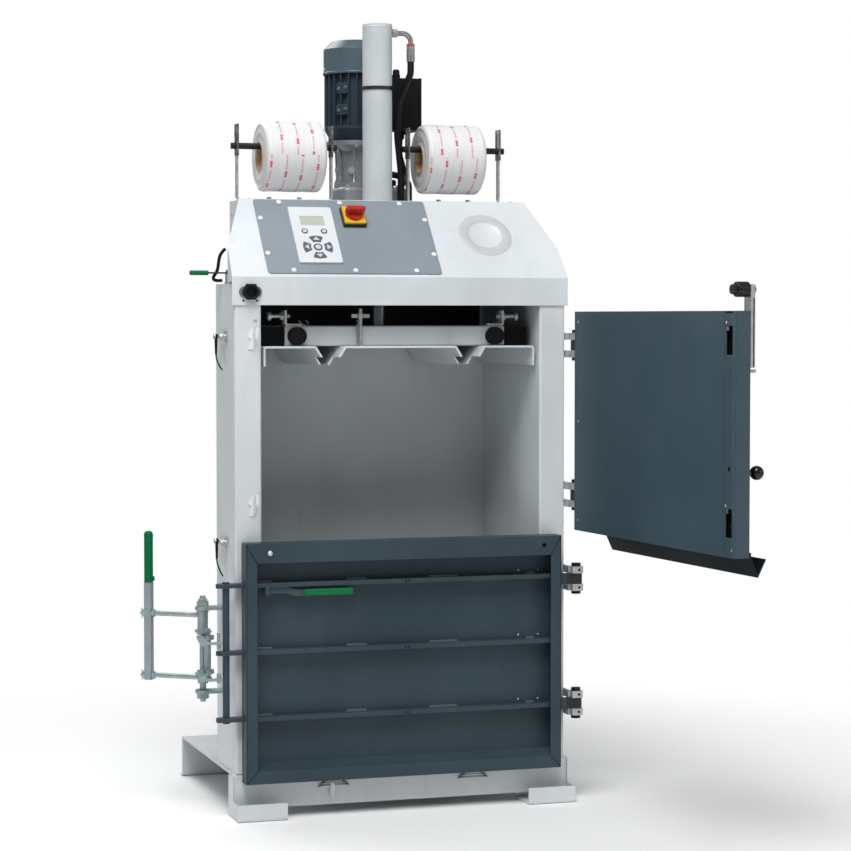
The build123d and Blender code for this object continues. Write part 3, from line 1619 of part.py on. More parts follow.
keep(catch_loops, "catch_loops")

with BuildPart() as side_lever:
    with BuildSketch(Plane.XY.offset(hand_lever_level + slack)):
        with Locations((hand_lever_x, hand_lever_y)):
            Rectangle(hand_lever_length, hand_lever_width, align=(Align.MAX, Align.CENTER))
            Circle(hand_lever_width / 2 + 2)
            Circle(hand_pin_radius + fit, mode=Mode.SUBTRACT)
    extrude(amount=hand_lever_thickness)
    with BuildSketch(Plane.YZ.offset(hand_lever_x - hand_lever_length)):
        with Locations((hand_lever_y, hand_lever_level + slack + hand_lever_thickness / 2)):
            Circle(hand_grip_radius)
    extrude(amount=-hand_grip_length)
    fillet(faces().sort_by(Axis.X)[0].edges(), 3)
keep(side_lever, "side_lever")
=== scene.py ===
"""Upright cardboard baler with two hinged doors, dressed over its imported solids.

Every piece sits in the row frame, in metres: X to the right, Y to the rear, Z up, with the
origin on the floor between the posts.
"""

from __future__ import annotations

import json
import logging
import math
from collections.abc import Callable, Iterable, Iterator, Sequence
from contextlib import contextmanager
from dataclasses import dataclass, field
from enum import Enum
from functools import cached_property
from itertools import product
from typing import Any

import bmesh
import bpy
from mathutils import Euler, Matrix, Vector

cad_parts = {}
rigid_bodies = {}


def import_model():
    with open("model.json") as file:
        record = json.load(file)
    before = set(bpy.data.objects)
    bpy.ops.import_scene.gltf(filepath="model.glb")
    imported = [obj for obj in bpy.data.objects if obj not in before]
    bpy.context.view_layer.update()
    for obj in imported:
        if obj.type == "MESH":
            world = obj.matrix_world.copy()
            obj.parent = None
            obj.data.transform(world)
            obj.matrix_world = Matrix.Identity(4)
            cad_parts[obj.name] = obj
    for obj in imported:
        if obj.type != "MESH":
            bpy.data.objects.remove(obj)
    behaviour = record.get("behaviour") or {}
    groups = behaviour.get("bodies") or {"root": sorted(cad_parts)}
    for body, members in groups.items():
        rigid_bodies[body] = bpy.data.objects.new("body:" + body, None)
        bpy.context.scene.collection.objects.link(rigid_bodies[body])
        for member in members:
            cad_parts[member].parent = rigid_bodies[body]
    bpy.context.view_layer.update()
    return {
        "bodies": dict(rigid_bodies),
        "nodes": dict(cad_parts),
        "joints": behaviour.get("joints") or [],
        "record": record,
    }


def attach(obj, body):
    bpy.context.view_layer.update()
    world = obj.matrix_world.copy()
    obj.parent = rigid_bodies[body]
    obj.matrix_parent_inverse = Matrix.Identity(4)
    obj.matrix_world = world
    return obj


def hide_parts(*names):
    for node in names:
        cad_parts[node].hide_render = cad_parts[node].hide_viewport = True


log = logging.getLogger("baler")

Pair = tuple[float, float]
Triple = tuple[float, float, float]

RIGHT, LEFT = (1, 0, 0), (-1, 0, 0)
REAR, FRONT = (0, 1, 0), (0, -1, 0)
UP, DOWN = (0, 0, 1), (0, 0, -1)


class Sheen(Enum):
    """Roughness of a surface."""

    GLOSSY = 0.18
    SEMI_GLOSS = 0.3
    SATIN = 0.42
    EGGSHELL = 0.55
    MATTE = 0.72


def grey(level: float) -> Triple:
    """A neutral colour."""
    return (level, level, level)


def toned(colour: Triple, factor: float, lift: float = 0.0) -> Triple:
    """A colour scaled by a factor and lifted, kept below white."""
    red, green, blue = (min(1.0, channel * factor + lift) for channel in colour)
    return (red, green, blue)


def operation(kind: str, swapped: bool = False) -> Callable[..., Socket]:
    """Makes a Socket method that adds a Math node.

    Args:
        kind: Name of the node's operation.
        swapped: Whether the method's own value comes last.

    Returns:
        The method.
    """

    def method(self: Socket, *others: Socket | float) -> Socket:
        """Adds the node and returns its value."""
        values = (*others, self) if swapped else (self, *others)
        return self.shader.node("ShaderNodeMath", {"operation": kind}, dict(enumerate(values)))

    return method


@dataclass(frozen=True)
class Socket:
    """A shader output that takes part in Python arithmetic."""

    shader: Shader
    output: bpy.types.NodeSocket

    __add__ = __radd__ = operation("ADD")
    __sub__ = operation("SUBTRACT")
    __rsub__ = operation("SUBTRACT", swapped=True)
    __mul__ = __rmul__ = operation("MULTIPLY")
    __truediv__ = operation("DIVIDE")
    __pow__ = operation("POWER")
    __abs__ = operation("ABSOLUTE")
    __gt__ = operation("GREATER_THAN")
    __lt__ = operation("LESS_THAN")
    maximum = operation("MAXIMUM")
    sine = operation("SINE")
    fraction = operation("FRACT")
    floor = operation("FLOOR")
    turn = operation("ARCTAN2")

    def wave(self, rate: float = 1.0) -> Socket:
        """Sine wave between 0 and 1, at a rate in radians."""
        return (self * rate).sine() * 0.5 + 0.5

    def hypotenuse(self, other: Socket) -> Socket:
        """Length of the vector that the two values make."""
        return (self * self + other * other) ** 0.5

    def ramp(self, low: float, high: float) -> Socket:
        """Smooth step from 0 at the low value to 1 at the high one."""
        values = {"Value": self, "From Min": low, "From Max": high}
        return self.shader.node("ShaderNodeMapRange", {"interpolation_type": "SMOOTHSTEP"}, values)


class Shader:
    """One material's node tree round a Principled surface."""

    def __init__(self, name: str) -> None:
        """Starts an empty tree for a material of that name."""
        self.material = bpy.data.materials.new(name)
        self.material.use_nodes = True
        self.tree = self.material.node_tree
        self.tree.nodes.clear()
        self.principled = self.tree.nodes.new("ShaderNodeBsdfPrincipled")
        self.end = self.tree.nodes.new("ShaderNodeOutputMaterial")
        self.tree.links.new(self.principled.outputs[0], self.end.inputs[0])

    def feed(self, socket: bpy.types.NodeSocket, value: Any) -> None:
        """Sets an input socket, or links it where the value is a Socket."""
        if isinstance(value, Socket):
            self.tree.links.new(value.output, socket)
        elif isinstance(value, tuple) and len(socket.default_value) > len(value):
            socket.default_value = (*value, 1.0)
        else:
            socket.default_value = value

    def node(
        self,
        kind: str,
        settings: dict[str, Any] | None = None,
        values: dict[Any, Any] | None = None,
        result: str | int | None = None,
    ) -> Socket:
        """Adds one node.

        Args:
            kind: Node type.
            settings: Properties of the node, set before its sockets.
            values: Values or links of its input sockets, by name or number.
            result: Output socket to return, by name or number. The first enabled one if left out.

        Returns:
            The chosen output.
        """
        made = self.tree.nodes.new(kind)
        for key, value in (settings or {}).items():
            setattr(made, key, value)
        for key, value in (values or {}).items():
            self.feed(made.inputs[key], value)
        if result is None:
            return Socket(self, next(out for out in made.outputs if out.enabled))
        return Socket(self, made.outputs[result])

    @cached_property
    def place(self) -> Socket:
        """Position in the row frame, in metres."""
        return self.node("ShaderNodeTexCoord", result="Object")

    def dot(self, first: Any, second: Any) -> Socket:
        """Dot product of two vectors."""
        settings = {"operation": "DOT_PRODUCT"}
        return self.node("ShaderNodeVectorMath", settings, {0: first, 1: second}, "Value")

    def along(self, direction: Sequence[float], offset: float = 0.0) -> Socket:
        """Distance along a unit direction of the row frame, less an offset."""
        distance = self.dot(self.place, tuple(direction))
        return distance - offset if offset else distance

    def noise(self, scale: float, detail: float = 2.0, stretch: Triple | None = None) -> Socket:
        """Soft noise between 0 and 1.

        Args:
            scale: Features per metre.
            detail: Octaves.
            stretch: Factor of the scale on each axis, if they differ.

        Returns:
            The noise value.
        """
        place = self.place
        if stretch is not None:
            place = self.node("ShaderNodeMapping", None, {"Vector": place, "Scale": stretch})
        values = {"Vector": place, "Scale": scale, "Detail": detail}
        return self.node("ShaderNodeTexNoise", None, values, 0)

    def cells(self, scale: float) -> Socket:
        """A random value for each cell of a Voronoi pattern, with that many cells per metre."""
        values = {"Vector": self.place, "Scale": scale}
        colour = self.node("ShaderNodeTexVoronoi", None, values, "Color")
        return self.node("ShaderNodeSeparateColor", None, {0: colour}, 0)

    def blend(self, factor: Any, low: Socket | Triple, high: Socket | Triple) -> Socket:
        """Mixes two colours: the first where the factor is 0, the second where it is 1."""
        settings = {"data_type": "RGBA", "blend_type": "MIX"}
        return self.node("ShaderNodeMix", settings, {0: factor, 6: low, 7: high}, 2)

    def rounded(self, radius: float) -> Socket:
        """Normal of the surface with rounded edges."""
        return self.node("ShaderNodeBevel", {"samples": 4}, {"Radius": radius})

    def worn_edge(self, radius: float) -> Socket:
        """0 on flats and up to 1 within a radius of a sharp outer edge."""
        rounded = self.rounded(radius)
        flat = self.node("ShaderNodeNewGeometry", result="Normal")
        return (1 - self.dot(rounded, flat)).ramp(0.02, 0.25)

    def finish(
        self,
        colour: Socket | Triple,
        roughness: Socket | float,
        metallic: float = 0.0,
        height: Socket | None = None,
        depth: float = 0.0001,
        rounding: float = 0.0,
        coat: float = 0.0,
        specular: float = 0.5,
    ) -> bpy.types.Material:
        """Connects the surface.

        Args:
            colour: Base colour.
            roughness: Roughness.
            metallic: Metallic share.
            height: Relief between 0 and 1, if the surface has one.
            depth: Depth of the relief in metres.
            rounding: Radius of rounded edges in metres.
            coat: Weight of a clear coat.
            specular: Strength of the plain reflection. 0.5 is that of clear paint.

        Returns:
            The finished material.
        """
        surface: dict[str, Any] = {
            "Base Color": colour,
            "Roughness": roughness,
            "Metallic": metallic,
            "Coat Weight": coat,
            "Specular IOR Level": specular,
        }
        if rounding:
            surface["Normal"] = self.rounded(rounding)
        if height is not None:
            relief = {"Height": height, "Distance": depth, "Strength": 1.0}
            if rounding:
                relief["Normal"] = surface["Normal"]
            surface["Normal"] = self.node("ShaderNodeBump", None, relief)
        for name, value in surface.items():
            self.feed(self.principled.inputs[name], value)
        return self.material


@dataclass(frozen=True)
class Plane:
    """A flat working plane, with local x, y and z directions."""

    origin: Vector
    x: Vector
    y: Vector

    @property
    def z(self) -> Vector:
        """Normal of the plane."""
        return self.x.cross(self.y).normalized()

    def at(self, u: float, v: float, w: float = 0.0) -> Vector:
        """Row position of a local point."""
        return self.origin + self.x * u + self.y * v + self.z * w

    def moved(self, u: float, v: float, w: float = 0.0) -> Plane:
        """The same directions with the origin at a local point."""
        return Plane(self.at(u, v, w), self.x, self.y)

    def turned(self, degrees: float) -> Plane:
        """The same plane turned about its normal."""
        cosine, sine = outwards(degrees).xy
        return Plane(self.origin, self.x * cosine + self.y * sine, self.y * cosine - self.x * sine)


def outwards(degrees: float) -> Vector:
    """Level unit vector at an angle from X."""
    turn = math.radians(degrees)
    return Vector((math.cos(turn), math.sin(turn), 0))


def facing(direction: Sequence[float], origin: Sequence[float] = (0.0, 0.0, 0.0)) -> Plane:
    """A plane with a given normal and its local y upwards where that is possible."""
    normal = Vector(direction).normalized()
    up = Vector(REAR) if abs(normal.z) > 0.9 else Vector(UP)
    across = up.cross(normal).normalized()
    return Plane(Vector(origin), across, normal.cross(across).normalized())


def radial(centre: Pair, degrees: float, level: float, reach: float) -> Plane:
    """A plane that faces away from an upright axis.

    Args:
        centre: X and Y of the axis.
        degrees: Angle of the plane's normal from X.
        level: Height of its origin.
        reach: Distance of its origin from the axis.

    Returns:
        The plane.
    """
    out = outwards(degrees)
    return facing(out, Vector((*centre, level)) + out * reach)


def curve(knots: Iterable[Sequence[float]], steps: int = 10) -> list[Vector]:
    """Smooth points through knots.

    Args:
        knots: Points that the curve passes.
        steps: Points between two knots.

    Returns:
        Points along the curve.
    """
    spots = [Vector(knot) for knot in knots]
    ends = [spots[0] * 2 - spots[1], *spots, spots[-1] * 2 - spots[-2]]
    points = []
    for a, b, c, d in zip(ends, ends[1:], ends[2:], ends[3:]):
        square = a * 2 - b * 5 + c * 4 - d
        cube = b * 3 - a - c * 3 + d
        for t in (i / steps for i in range(steps)):
            points.append((b * 2 + (c - a) * t + square * t * t + cube * t**3) * 0.5)
    return [*points, spots[-1]]


HINGE_AXIS: Pair = (0.446, -0.028)
WELD_STEP = 0.0012
WELD_RATE = 1.9
SLOPE = Plane(Vector((0, -0.004, 1.314)), Vector(RIGHT), Vector((0, 168, 195)).normalized())


@dataclass(frozen=True)
class Finish:
    """A surface finish. Each kind says what goes into its surface."""

    name: str

    def surface(self, shader: Shader) -> dict[str, Any]:
        """Draws the surface and returns what Shader.finish takes."""
        raise NotImplementedError

    def shade(self, shader: Shader, colour: Socket) -> Socket:
        """Leaves a colour as it is. Kinds with a second tone change it."""
        return colour

    def material(self) -> bpy.types.Material:
        """Builds the material."""
        shader = Shader(self.name)
        return shader.finish(**self.surface(shader))


@dataclass(frozen=True)
class PowderCoat(Finish):
    """Powder-coated sheet steel: faint orange peel, a little dust and rounded edges."""

    colour: Triple
    sheen: Sheen = Sheen.SATIN
    dust: Triple = (0.36, 0.34, 0.31)
    dust_share: float = 0.12
    edge_tone: Triple = (0.86, 0.87, 0.88)
    edge_lift: float = 0.12
    rounding: float = 0.0012
    specular: float = 0.5

    def surface(self, shader: Shader) -> dict[str, Any]:
        """Draws clouds, streaks of dust and lifted edges."""
        cloud = shader.noise(3.2, 4.0)
        streak = shader.noise(26.0, 3.0, (1.0, 1.0, 0.12))
        edge = shader.worn_edge(0.0022)
        deep, light = toned(self.colour, 0.95), toned(self.colour, 1.06, 0.01)
        coat = shader.blend(cloud.ramp(0.3, 0.7), deep, light)
        dusty = shader.blend(streak.ramp(0.52, 0.8) * self.dust_share, coat, self.dust)
        lifted = shader.blend(edge * self.edge_lift, dusty, self.edge_tone)
        return {
            "colour": self.shade(shader, lifted),
            "roughness": cloud * 0.08 + streak * 0.06 + (self.sheen.value - 0.07),
            "height": shader.noise(620.0, 1.0),
            "depth": 0.00004,
            "rounding": self.rounding,
            "specular": self.specular,
        }


@dataclass(frozen=True)
class HingedSlate(PowderCoat):
    """Dark door coat with bare, oiled steel round the hinge pins and a painted highlight on the returned
    end of the open door.
    """

    knuckle: float = 0.030
    end: float = -0.8625
    # Colour of the painted highlight on the returned end of the open door.
    painted_light_end_tone: Triple = (0.060, 0.094, 0.116)
    oiled: Triple = (0.020, 0.020, 0.019)

    def shade(self, shader: Shader, colour: Socket) -> Socket:
        """Darkens the hinge knuckles and paints light on the returned end of the open door, as if its end
        face caught more light.
        """
        across, depth = shader.along(RIGHT, HINGE_AXIS[0]), shader.along(REAR, HINGE_AXIS[1])
        rub = shader.noise(120.0, 2.0)
        near = 1 - across.hypotenuse(depth).ramp(self.knuckle - 0.001, self.knuckle)
        # Painted highlight: the returned end of the open door is lightened as if its end face caught more
        # light.
        painted_lit_end = shader.blend((shader.along(REAR) < self.end) * 0.55, colour, self.painted_light_end_tone)
        return shader.blend(near * (0.95 - rub * 0.25), painted_lit_end, self.oiled)


@dataclass(frozen=True)
class ShellCoat(PowderCoat):
    """Body coat with painted shade inside the head of the press, where little light reaches."""

    # Near-black painted shade for the enclosed head above the platen.
    painted_shade_tone: Triple = (0.010, 0.011, 0.011)
    half_width: float = 0.3530
    front: float = 0.0012
    rear: float = 0.4525
    low: float = 1.135
    high: float = 1.185
    lid: float = 1.2985

    def shade(self, shader: Shader, colour: Socket) -> Socket:
        """Paints shade in the head of the press."""
        x, y, z = (shader.along(direction) for direction in (RIGHT, REAR, UP))
        inside = (abs(x) < self.half_width) * (y > self.front) * (y < self.rear) * (z < self.lid)
        # Painted shade: the enclosed head above the platen turns near-black.
        return shader.blend(inside * z.ramp(self.low, self.high), colour, self.painted_shade_tone)


@dataclass(frozen=True)
class LeverPlastic(PowderCoat):
    """Slate arm with a green dipped grip."""

    grip_start: float = -0.2592
    green: Triple = (0.0, 0.150, 0.045)

    def shade(self, shader: Shader, colour: Socket) -> Socket:
        """Colours the grip."""
        return shader.blend(shader.along(RIGHT) > self.grip_start, colour, self.green)


@dataclass(frozen=True)
class Galvanised(Finish):
    """Zinc-plated steel with soft spangle and fine scratches."""

    colour: Triple = (0.62, 0.64, 0.65)
    sheen: Sheen = Sheen.SATIN
    spangle: float = 120.0
    tint: Triple = (0.58, 0.60, 0.50)

    def surface(self, shader: Shader) -> dict[str, Any]:
        """Draws spangle, stains and scratches."""
        flake = shader.cells(self.spangle)
        cloud = shader.noise(22.0, 3.0)
        scratch = shader.noise(340.0, 2.0, (1.0, 1.0, 0.06))
        base = shader.blend(flake * 0.55 + cloud * 0.3, toned(self.colour, 0.74), self.colour)
        stained = shader.blend(cloud.ramp(0.55, 0.8) * 0.35, base, self.tint)
        return {
            "colour": self.shade(shader, stained),
            "roughness": flake * 0.14 + scratch * 0.16 + (self.sheen.value - 0.12),
            "metallic": 0.85,
            "height": scratch + flake * 0.4,
            "depth": 0.00006,
            "rounding": 0.0006,
        }


@dataclass(frozen=True)
class Passivated(Galvanised):
    """Zinc with the blue, violet and straw tints of passivation."""

    blue: Triple = (0.21, 0.36, 0.38)
    violet: Triple = (0.30, 0.33, 0.38)
    straw: Triple = (0.48, 0.52, 0.38)
    share: float = 0.42

    def shade(self, shader: Shader, colour: Socket) -> Socket:
        """Tints the plating."""
        drift = shader.noise(17.0, 2.0)
        second = shader.noise(31.0, 2.0, (1.0, 1.0, 0.6))
        cold = shader.blend(drift.ramp(0.38, 0.62), self.blue, self.violet)
        return shader.blend(self.share, colour, shader.blend(second.ramp(0.55, 0.75), cold, self.straw))


@dataclass(frozen=True)
class HolderZinc(Galvanised):
    """Galvanised holders with oiled dark forks."""

    fork_level: float = 1.6228
    oiled: Triple = (0.045, 0.046, 0.048)

    def shade(self, shader: Shader, colour: Socket) -> Socket:
        """Darkens the forks."""
        fork = shader.along(UP) > self.fork_level
        rub = shader.noise(90.0, 3.0).ramp(0.45, 0.7)
        return shader.blend(fork * (0.80 - rub * 0.35), colour, self.oiled)


@dataclass(frozen=True)
class TurnedSteel(Finish):
    """Machined or ground steel, with rings from the tool."""

    colour: Triple
    sheen: Sheen = Sheen.SEMI_GLOSS
    metallic: float = 1.0
    specular: float = 0.5

    def surface(self, shader: Shader) -> dict[str, Any]:
        """Draws tool rings and smears."""
        ring = shader.noise(60.0, 3.0, (1.0, 1.0, 12.0))
        smear = shader.noise(9.0, 3.0)
        return {
            "colour": shader.blend(ring * 0.6 + smear * 0.3, toned(self.colour, 0.7), self.colour),
            "roughness": ring * 0.12 + smear * 0.1 + (self.sheen.value - 0.1),
            "metallic": self.metallic,
            "height": ring,
            "depth": 0.00003,
            "rounding": 0.0005,
            "specular": self.specular,
        }


@dataclass(frozen=True)
class Moulded(Finish):
    """Moulded plastic or rubber with a fine sparked grain."""

    colour: Triple
    sheen: Sheen = Sheen.EGGSHELL
    grain: float = 900.0
    grain_depth: float = 0.00005
    bloom: Triple = (0.2, 0.2, 0.2)
    bloom_share: float = 0.12
    rounding: float = 0.0007
    specular: float = 0.5

    def surface(self, shader: Shader) -> dict[str, Any]:
        """Draws the grain, with a pale bloom on the edges."""
        spark = shader.noise(self.grain, 2.0)
        cloud = shader.noise(14.0, 3.0)
        pale = cloud.ramp(0.4, 0.75) * 0.5 + shader.worn_edge(0.0014) * 0.5
        return {
            "colour": shader.blend(pale * self.bloom_share, self.colour, self.bloom),
            "roughness": spark * 0.1 + cloud * 0.08 + (self.sheen.value - 0.09),
            "height": spark,
            "depth": self.grain_depth,
            "rounding": self.rounding,
            "specular": self.specular,
        }


@dataclass(frozen=True)
class TippedLever(Moulded):
    """Dark steel lever with a green moulded grip at its outer end."""

    grip_start: float = -0.4635
    steel: Triple = (0.020, 0.022, 0.024)

    def surface(self, shader: Shader) -> dict[str, Any]:
        """Draws the steel and the grip."""
        grip = shader.along(RIGHT) < self.grip_start
        spark = shader.noise(self.grain, 2.0)
        tone = shader.blend(grip, self.steel, self.colour)
        return {
            "colour": shader.blend(spark * self.bloom_share, tone, self.bloom),
            "roughness": spark * 0.1 + 0.34,
            "height": spark,
            "depth": 0.00004,
            "rounding": self.rounding,
            "specular": self.specular,
        }


@dataclass(frozen=True)
class FlangedSocket(Moulded):
    """Black moulded socket on a dull metal flange."""

    centre: Pair = (-0.386, 1.277)
    flange_front: float = -0.0085
    flange_reach: float = 0.0196
    metal: Triple = (0.16, 0.17, 0.18)

    def surface(self, shader: Shader) -> dict[str, Any]:
        """Draws the socket and the flange."""
        spark = shader.noise(self.grain, 2.0)
        across, up = shader.along(RIGHT, self.centre[0]), shader.along(UP, self.centre[1])
        outside = across.hypotenuse(up) > self.flange_reach
        flange = (shader.along(REAR) > self.flange_front) * outside
        tone = shader.blend(flange, self.colour, self.metal)
        return {
            "colour": shader.blend(spark * self.bloom_share, tone, self.bloom),
            "roughness": spark * 0.12 + 0.4,
            "height": spark,
            "depth": 0.00005,
            "rounding": 0.0006,
            "specular": 0.25,
        }


@dataclass(frozen=True)
class Casting(Finish):
    """Painted or bare cast metal with a pebbled skin."""

    colour: Triple
    sheen: Sheen = Sheen.EGGSHELL
    metallic: float = 0.0
    grime: Triple = (0.06, 0.06, 0.06)
    specular: float = 0.5

    def surface(self, shader: Shader) -> dict[str, Any]:
        """Draws pebbles and stains."""
        pebble = shader.noise(380.0, 3.0)
        stain = shader.noise(16.0, 5.0)
        edge = shader.worn_edge(0.002)
        base = shader.blend(pebble * 0.5 + edge * 0.5, self.colour, toned(self.colour, 1.25, 0.02))
        return {
            "colour": shader.blend(stain.ramp(0.52, 0.75) * 0.3, base, self.grime),
            "roughness": pebble * 0.12 + stain * 0.12 + (self.sheen.value - 0.1),
            "metallic": self.metallic,
            "height": pebble,
            "depth": 0.00025,
            "rounding": 0.0012,
            "specular": self.specular,
        }


@dataclass(frozen=True)
class WoundStrap(Finish):
    """White polyester strap wound on a card core, with plain red dashes."""

    centre: Triple
    strap: float
    lead: float
    seed: float = 0.0
    dash: float = 0.066
    radius: float = 0.089
    white: Triple = (0.72, 0.72, 0.72)
    shaded: Triple = (0.46, 0.46, 0.46)
    red: Triple = (0.58, 0.025, 0.075)

    def surface(self, shader: Shader) -> dict[str, Any]:
        """Draws the lanes of strap, their threads and every third lane's dashes."""
        x, y, z = (shader.along(*pair) for pair in zip((RIGHT, REAR, UP), self.centre))
        radius = y.hypotenuse(z)
        angle = z.turn(y)
        arc = angle * self.radius
        lay = (x + angle * self.lead + self.seed) / self.strap
        lane, row = lay.fraction(), lay.floor()
        off_middle = abs(lane - 0.5)
        border = off_middle.ramp(0.44, 0.5)
        settings = {"noise_dimensions": "1D"}
        start = shader.node("ShaderNodeTexWhiteNoise", settings, {"W": row + self.seed}, 0)
        printed = (row / 3.0 + 0.05).fraction() < 0.3
        along = (arc / self.dash + start * 7.0).fraction()
        ticks = (along * 17.0 + shader.noise(190.0, 1.0) * 0.8).fraction() < 0.62
        thin = (off_middle < 0.16) * ticks * (along < 0.58)
        blocks = (along * 12.0).fraction() < 0.80
        heavy = (along > 0.64) * (along < 0.92) * (off_middle < 0.25) * blocks
        face = radius > self.radius - 0.003
        side = 1 - face
        mark = printed * (thin * 0.74).maximum(heavy) * face
        turns = radius.wave(5200.0)
        soft = shader.noise(40.0, 3.0)
        shade = (border * face) * 0.14 + side * turns * 0.3
        base = shader.blend(shade + soft * 0.2, self.white, self.shaded)
        weave = (1 - border) * 0.7 + lane.wave(75.0) * 0.14 + arc.wave(2600.0) * 0.1
        return {
            "colour": shader.blend(mark, base, self.red),
            "roughness": soft * 0.1 + 0.42,
            "height": weave + turns * side * 0.4,
            "depth": 0.0004,
        }


@dataclass(frozen=True)
class CardCore(Finish):
    """Spiral-wound card tube."""

    colour: Triple = (0.36, 0.22, 0.12)
    pale: Triple = (0.56, 0.37, 0.21)

    def surface(self, shader: Shader) -> dict[str, Any]:
        """Draws the fibres."""
        fibre = shader.noise(420.0, 3.0, (0.3, 1.0, 1.0))
        mottle = fibre * 0.6 + shader.noise(30.0, 2.0) * 0.3
        colour = shader.blend(mottle, self.colour, self.pale)
        return {"colour": colour, "roughness": 0.85, "height": fibre, "depth": 0.0002, "rounding": 0.0008}


@dataclass(frozen=True)
class HoseCover(Finish):
    """Black rubber hose with a wrapped cloth print."""

    colour: Triple = (0.005, 0.005, 0.006)
    worn: Triple = (0.02, 0.02, 0.021)

    def surface(self, shader: Shader) -> dict[str, Any]:
        """Draws the wrap."""
        wrap = (shader.along(UP) * 900.0 + shader.along(RIGHT) * 500.0).wave()
        cloud = shader.noise(30.0, 3.0)
        return {
            "colour": shader.blend(cloud * 0.3, self.colour, self.worn),
            "roughness": cloud * 0.15 + 0.45,
            "height": wrap + cloud * 0.5,
            "depth": 0.0002,
            "specular": 0.25,
        }


@dataclass(frozen=True)
class LiquidCrystal(Finish):
    """Unlit grey-green display under a clear cover."""

    colour: Triple = (0.46, 0.49, 0.42)
    dark: Triple = (0.30, 0.33, 0.28)
    dots: float = 2400.0

    def surface(self, shader: Shader) -> dict[str, Any]:
        """Draws the dots."""
        dots = shader.along(RIGHT).wave(self.dots) * shader.along((0, 0.653, 0.758)).wave(self.dots)
        colour = shader.blend(dots * 0.12, self.colour, self.dark)
        return {"colour": colour, "roughness": dots * 0.04 + 0.16, "coat": 0.6}


@dataclass(frozen=True)
class SwitchFace(Finish):
    """Yellow face on a black switch base."""

    face_level: float = 0.0112
    black: Triple = (0.012, 0.012, 0.013)
    yellow: Triple = (0.75, 0.42, 0.01)

    def surface(self, shader: Shader) -> dict[str, Any]:
        """Draws the base, yellow above the level of its face."""
        height = shader.along(SLOPE.z, SLOPE.z.dot(SLOPE.origin))
        grain = shader.noise(800.0, 2.0)
        return {
            "colour": shader.blend(height > self.face_level, self.black, self.yellow),
            "roughness": grain * 0.1 + 0.32,
            "height": grain,
            "depth": 0.00004,
            "rounding": 0.0008,
        }


@dataclass(frozen=True)
class PlainBadge(Finish):
    """Silver ring round a pale middle."""

    centre: Pair
    inner: float
    middle: Triple = (0.62, 0.64, 0.65)
    silver: tuple[Triple, Triple] = ((0.42, 0.44, 0.46), (0.56, 0.58, 0.60))

    def surface(self, shader: Shader) -> dict[str, Any]:
        """Draws both tones."""
        middle = SLOPE.at(*self.centre)
        u, v = (shader.along(way, way.dot(middle)) for way in (SLOPE.x, SLOPE.y))
        rim = u.hypotenuse(v).ramp(self.inner - 0.0006, self.inner + 0.0006)
        brushed = shader.noise(260.0, 2.0, (0.05, 1.0, 1.0))
        return {
            "colour": shader.blend(rim, self.middle, shader.blend(brushed, *self.silver)),
            "roughness": brushed * 0.1 + 0.3,
            "height": brushed,
            "depth": 0.00003,
        }


@dataclass(frozen=True)
class CylinderCoat(Finish):
    """Pale coat on the cylinder, with a black tie round it."""

    tie: Pair = (1.790, 1.798)
    pale: tuple[Triple, Triple] = ((0.46, 0.495, 0.51), (0.52, 0.55, 0.565))
    black: Triple = (0.012, 0.012, 0.012)

    def surface(self, shader: Shader) -> dict[str, Any]:
        """Draws the coat and the tie."""
        z = shader.along(UP)
        tie = (z > self.tie[0] - 0.0004) * (z < self.tie[1] + 0.0004)
        cloud = shader.noise(7.0, 4.0)
        return {
            "colour": shader.blend(tie, shader.blend(cloud.ramp(0.3, 0.7), *self.pale), self.black),
            "roughness": cloud * 0.08 + 0.38,
            "height": shader.noise(560.0, 1.0),
            "depth": 0.00004,
            "rounding": 0.0008,
        }


BODY: Triple = (0.625, 0.660, 0.680)
BLACK: Triple = (0.004, 0.0045, 0.005)
GREEN: Triple = (0.0005, 0.132, 0.044)
GREEN_BLOOM: Triple = (0.01, 0.24, 0.10)
SLATE_DUST: Triple = (0.12, 0.14, 0.15)

PALE_GREY = PowderCoat("pale_grey_coat", BODY)
SHELL_GREY = ShellCoat("shell_coat", BODY)
SLATE = HingedSlate(
    "slate_coat", (0.029, 0.052, 0.068), dust=SLATE_DUST, dust_share=0.07, edge_lift=0.05, specular=0.28
)
LINER_SLATE = HingedSlate(
    "liner_slate_coat",
    (0.036, 0.069, 0.091),
    dust=SLATE_DUST,
    dust_share=0.06,
    edge_lift=0.05,
    specular=0.3,
    knuckle=0.021,
)
# Slate darkened to paint shade: on the downward-facing door apron and along the fold lines of the lower
# door.
SHADED_SLATE = PowderCoat(
    "shaded_slate_coat",
    (0.003, 0.007, 0.009),
    dust=(0.03, 0.04, 0.05),
    dust_share=0.05,
    edge_lift=0.04,
    specular=0.14,
)
RUBBED_SLATE = PowderCoat(
    "rubbed_slate_coat",
    (0.105, 0.140, 0.160),
    Sheen.SEMI_GLOSS,
    dust_share=0.05,
    edge_lift=0.1,
    rounding=0.0004,
)
BLUE_GREY = PowderCoat(
    "blue_grey_coat", (0.208, 0.248, 0.282), dust_share=0.04, edge_lift=0.06, rounding=0.0006
)
KEEPER_COAT = PowderCoat(
    "keeper_coat", (0.74, 0.77, 0.79), Sheen.SEMI_GLOSS, dust_share=0.05, rounding=0.0005
)
RELEASE_COAT = LeverPlastic("release_lever_coat", (0.034, 0.062, 0.081), specular=0.3)
ZINC = Galvanised("zinc_plate")
POLISHED_ZINC = Galvanised("polished_zinc", (0.86, 0.87, 0.88), Sheen.EGGSHELL)
TINTED_ZINC = Passivated("passivated_zinc", (0.50, 0.57, 0.56))
HOLDER_ZINC = HolderZinc("holder_zinc", (0.66, 0.68, 0.69))
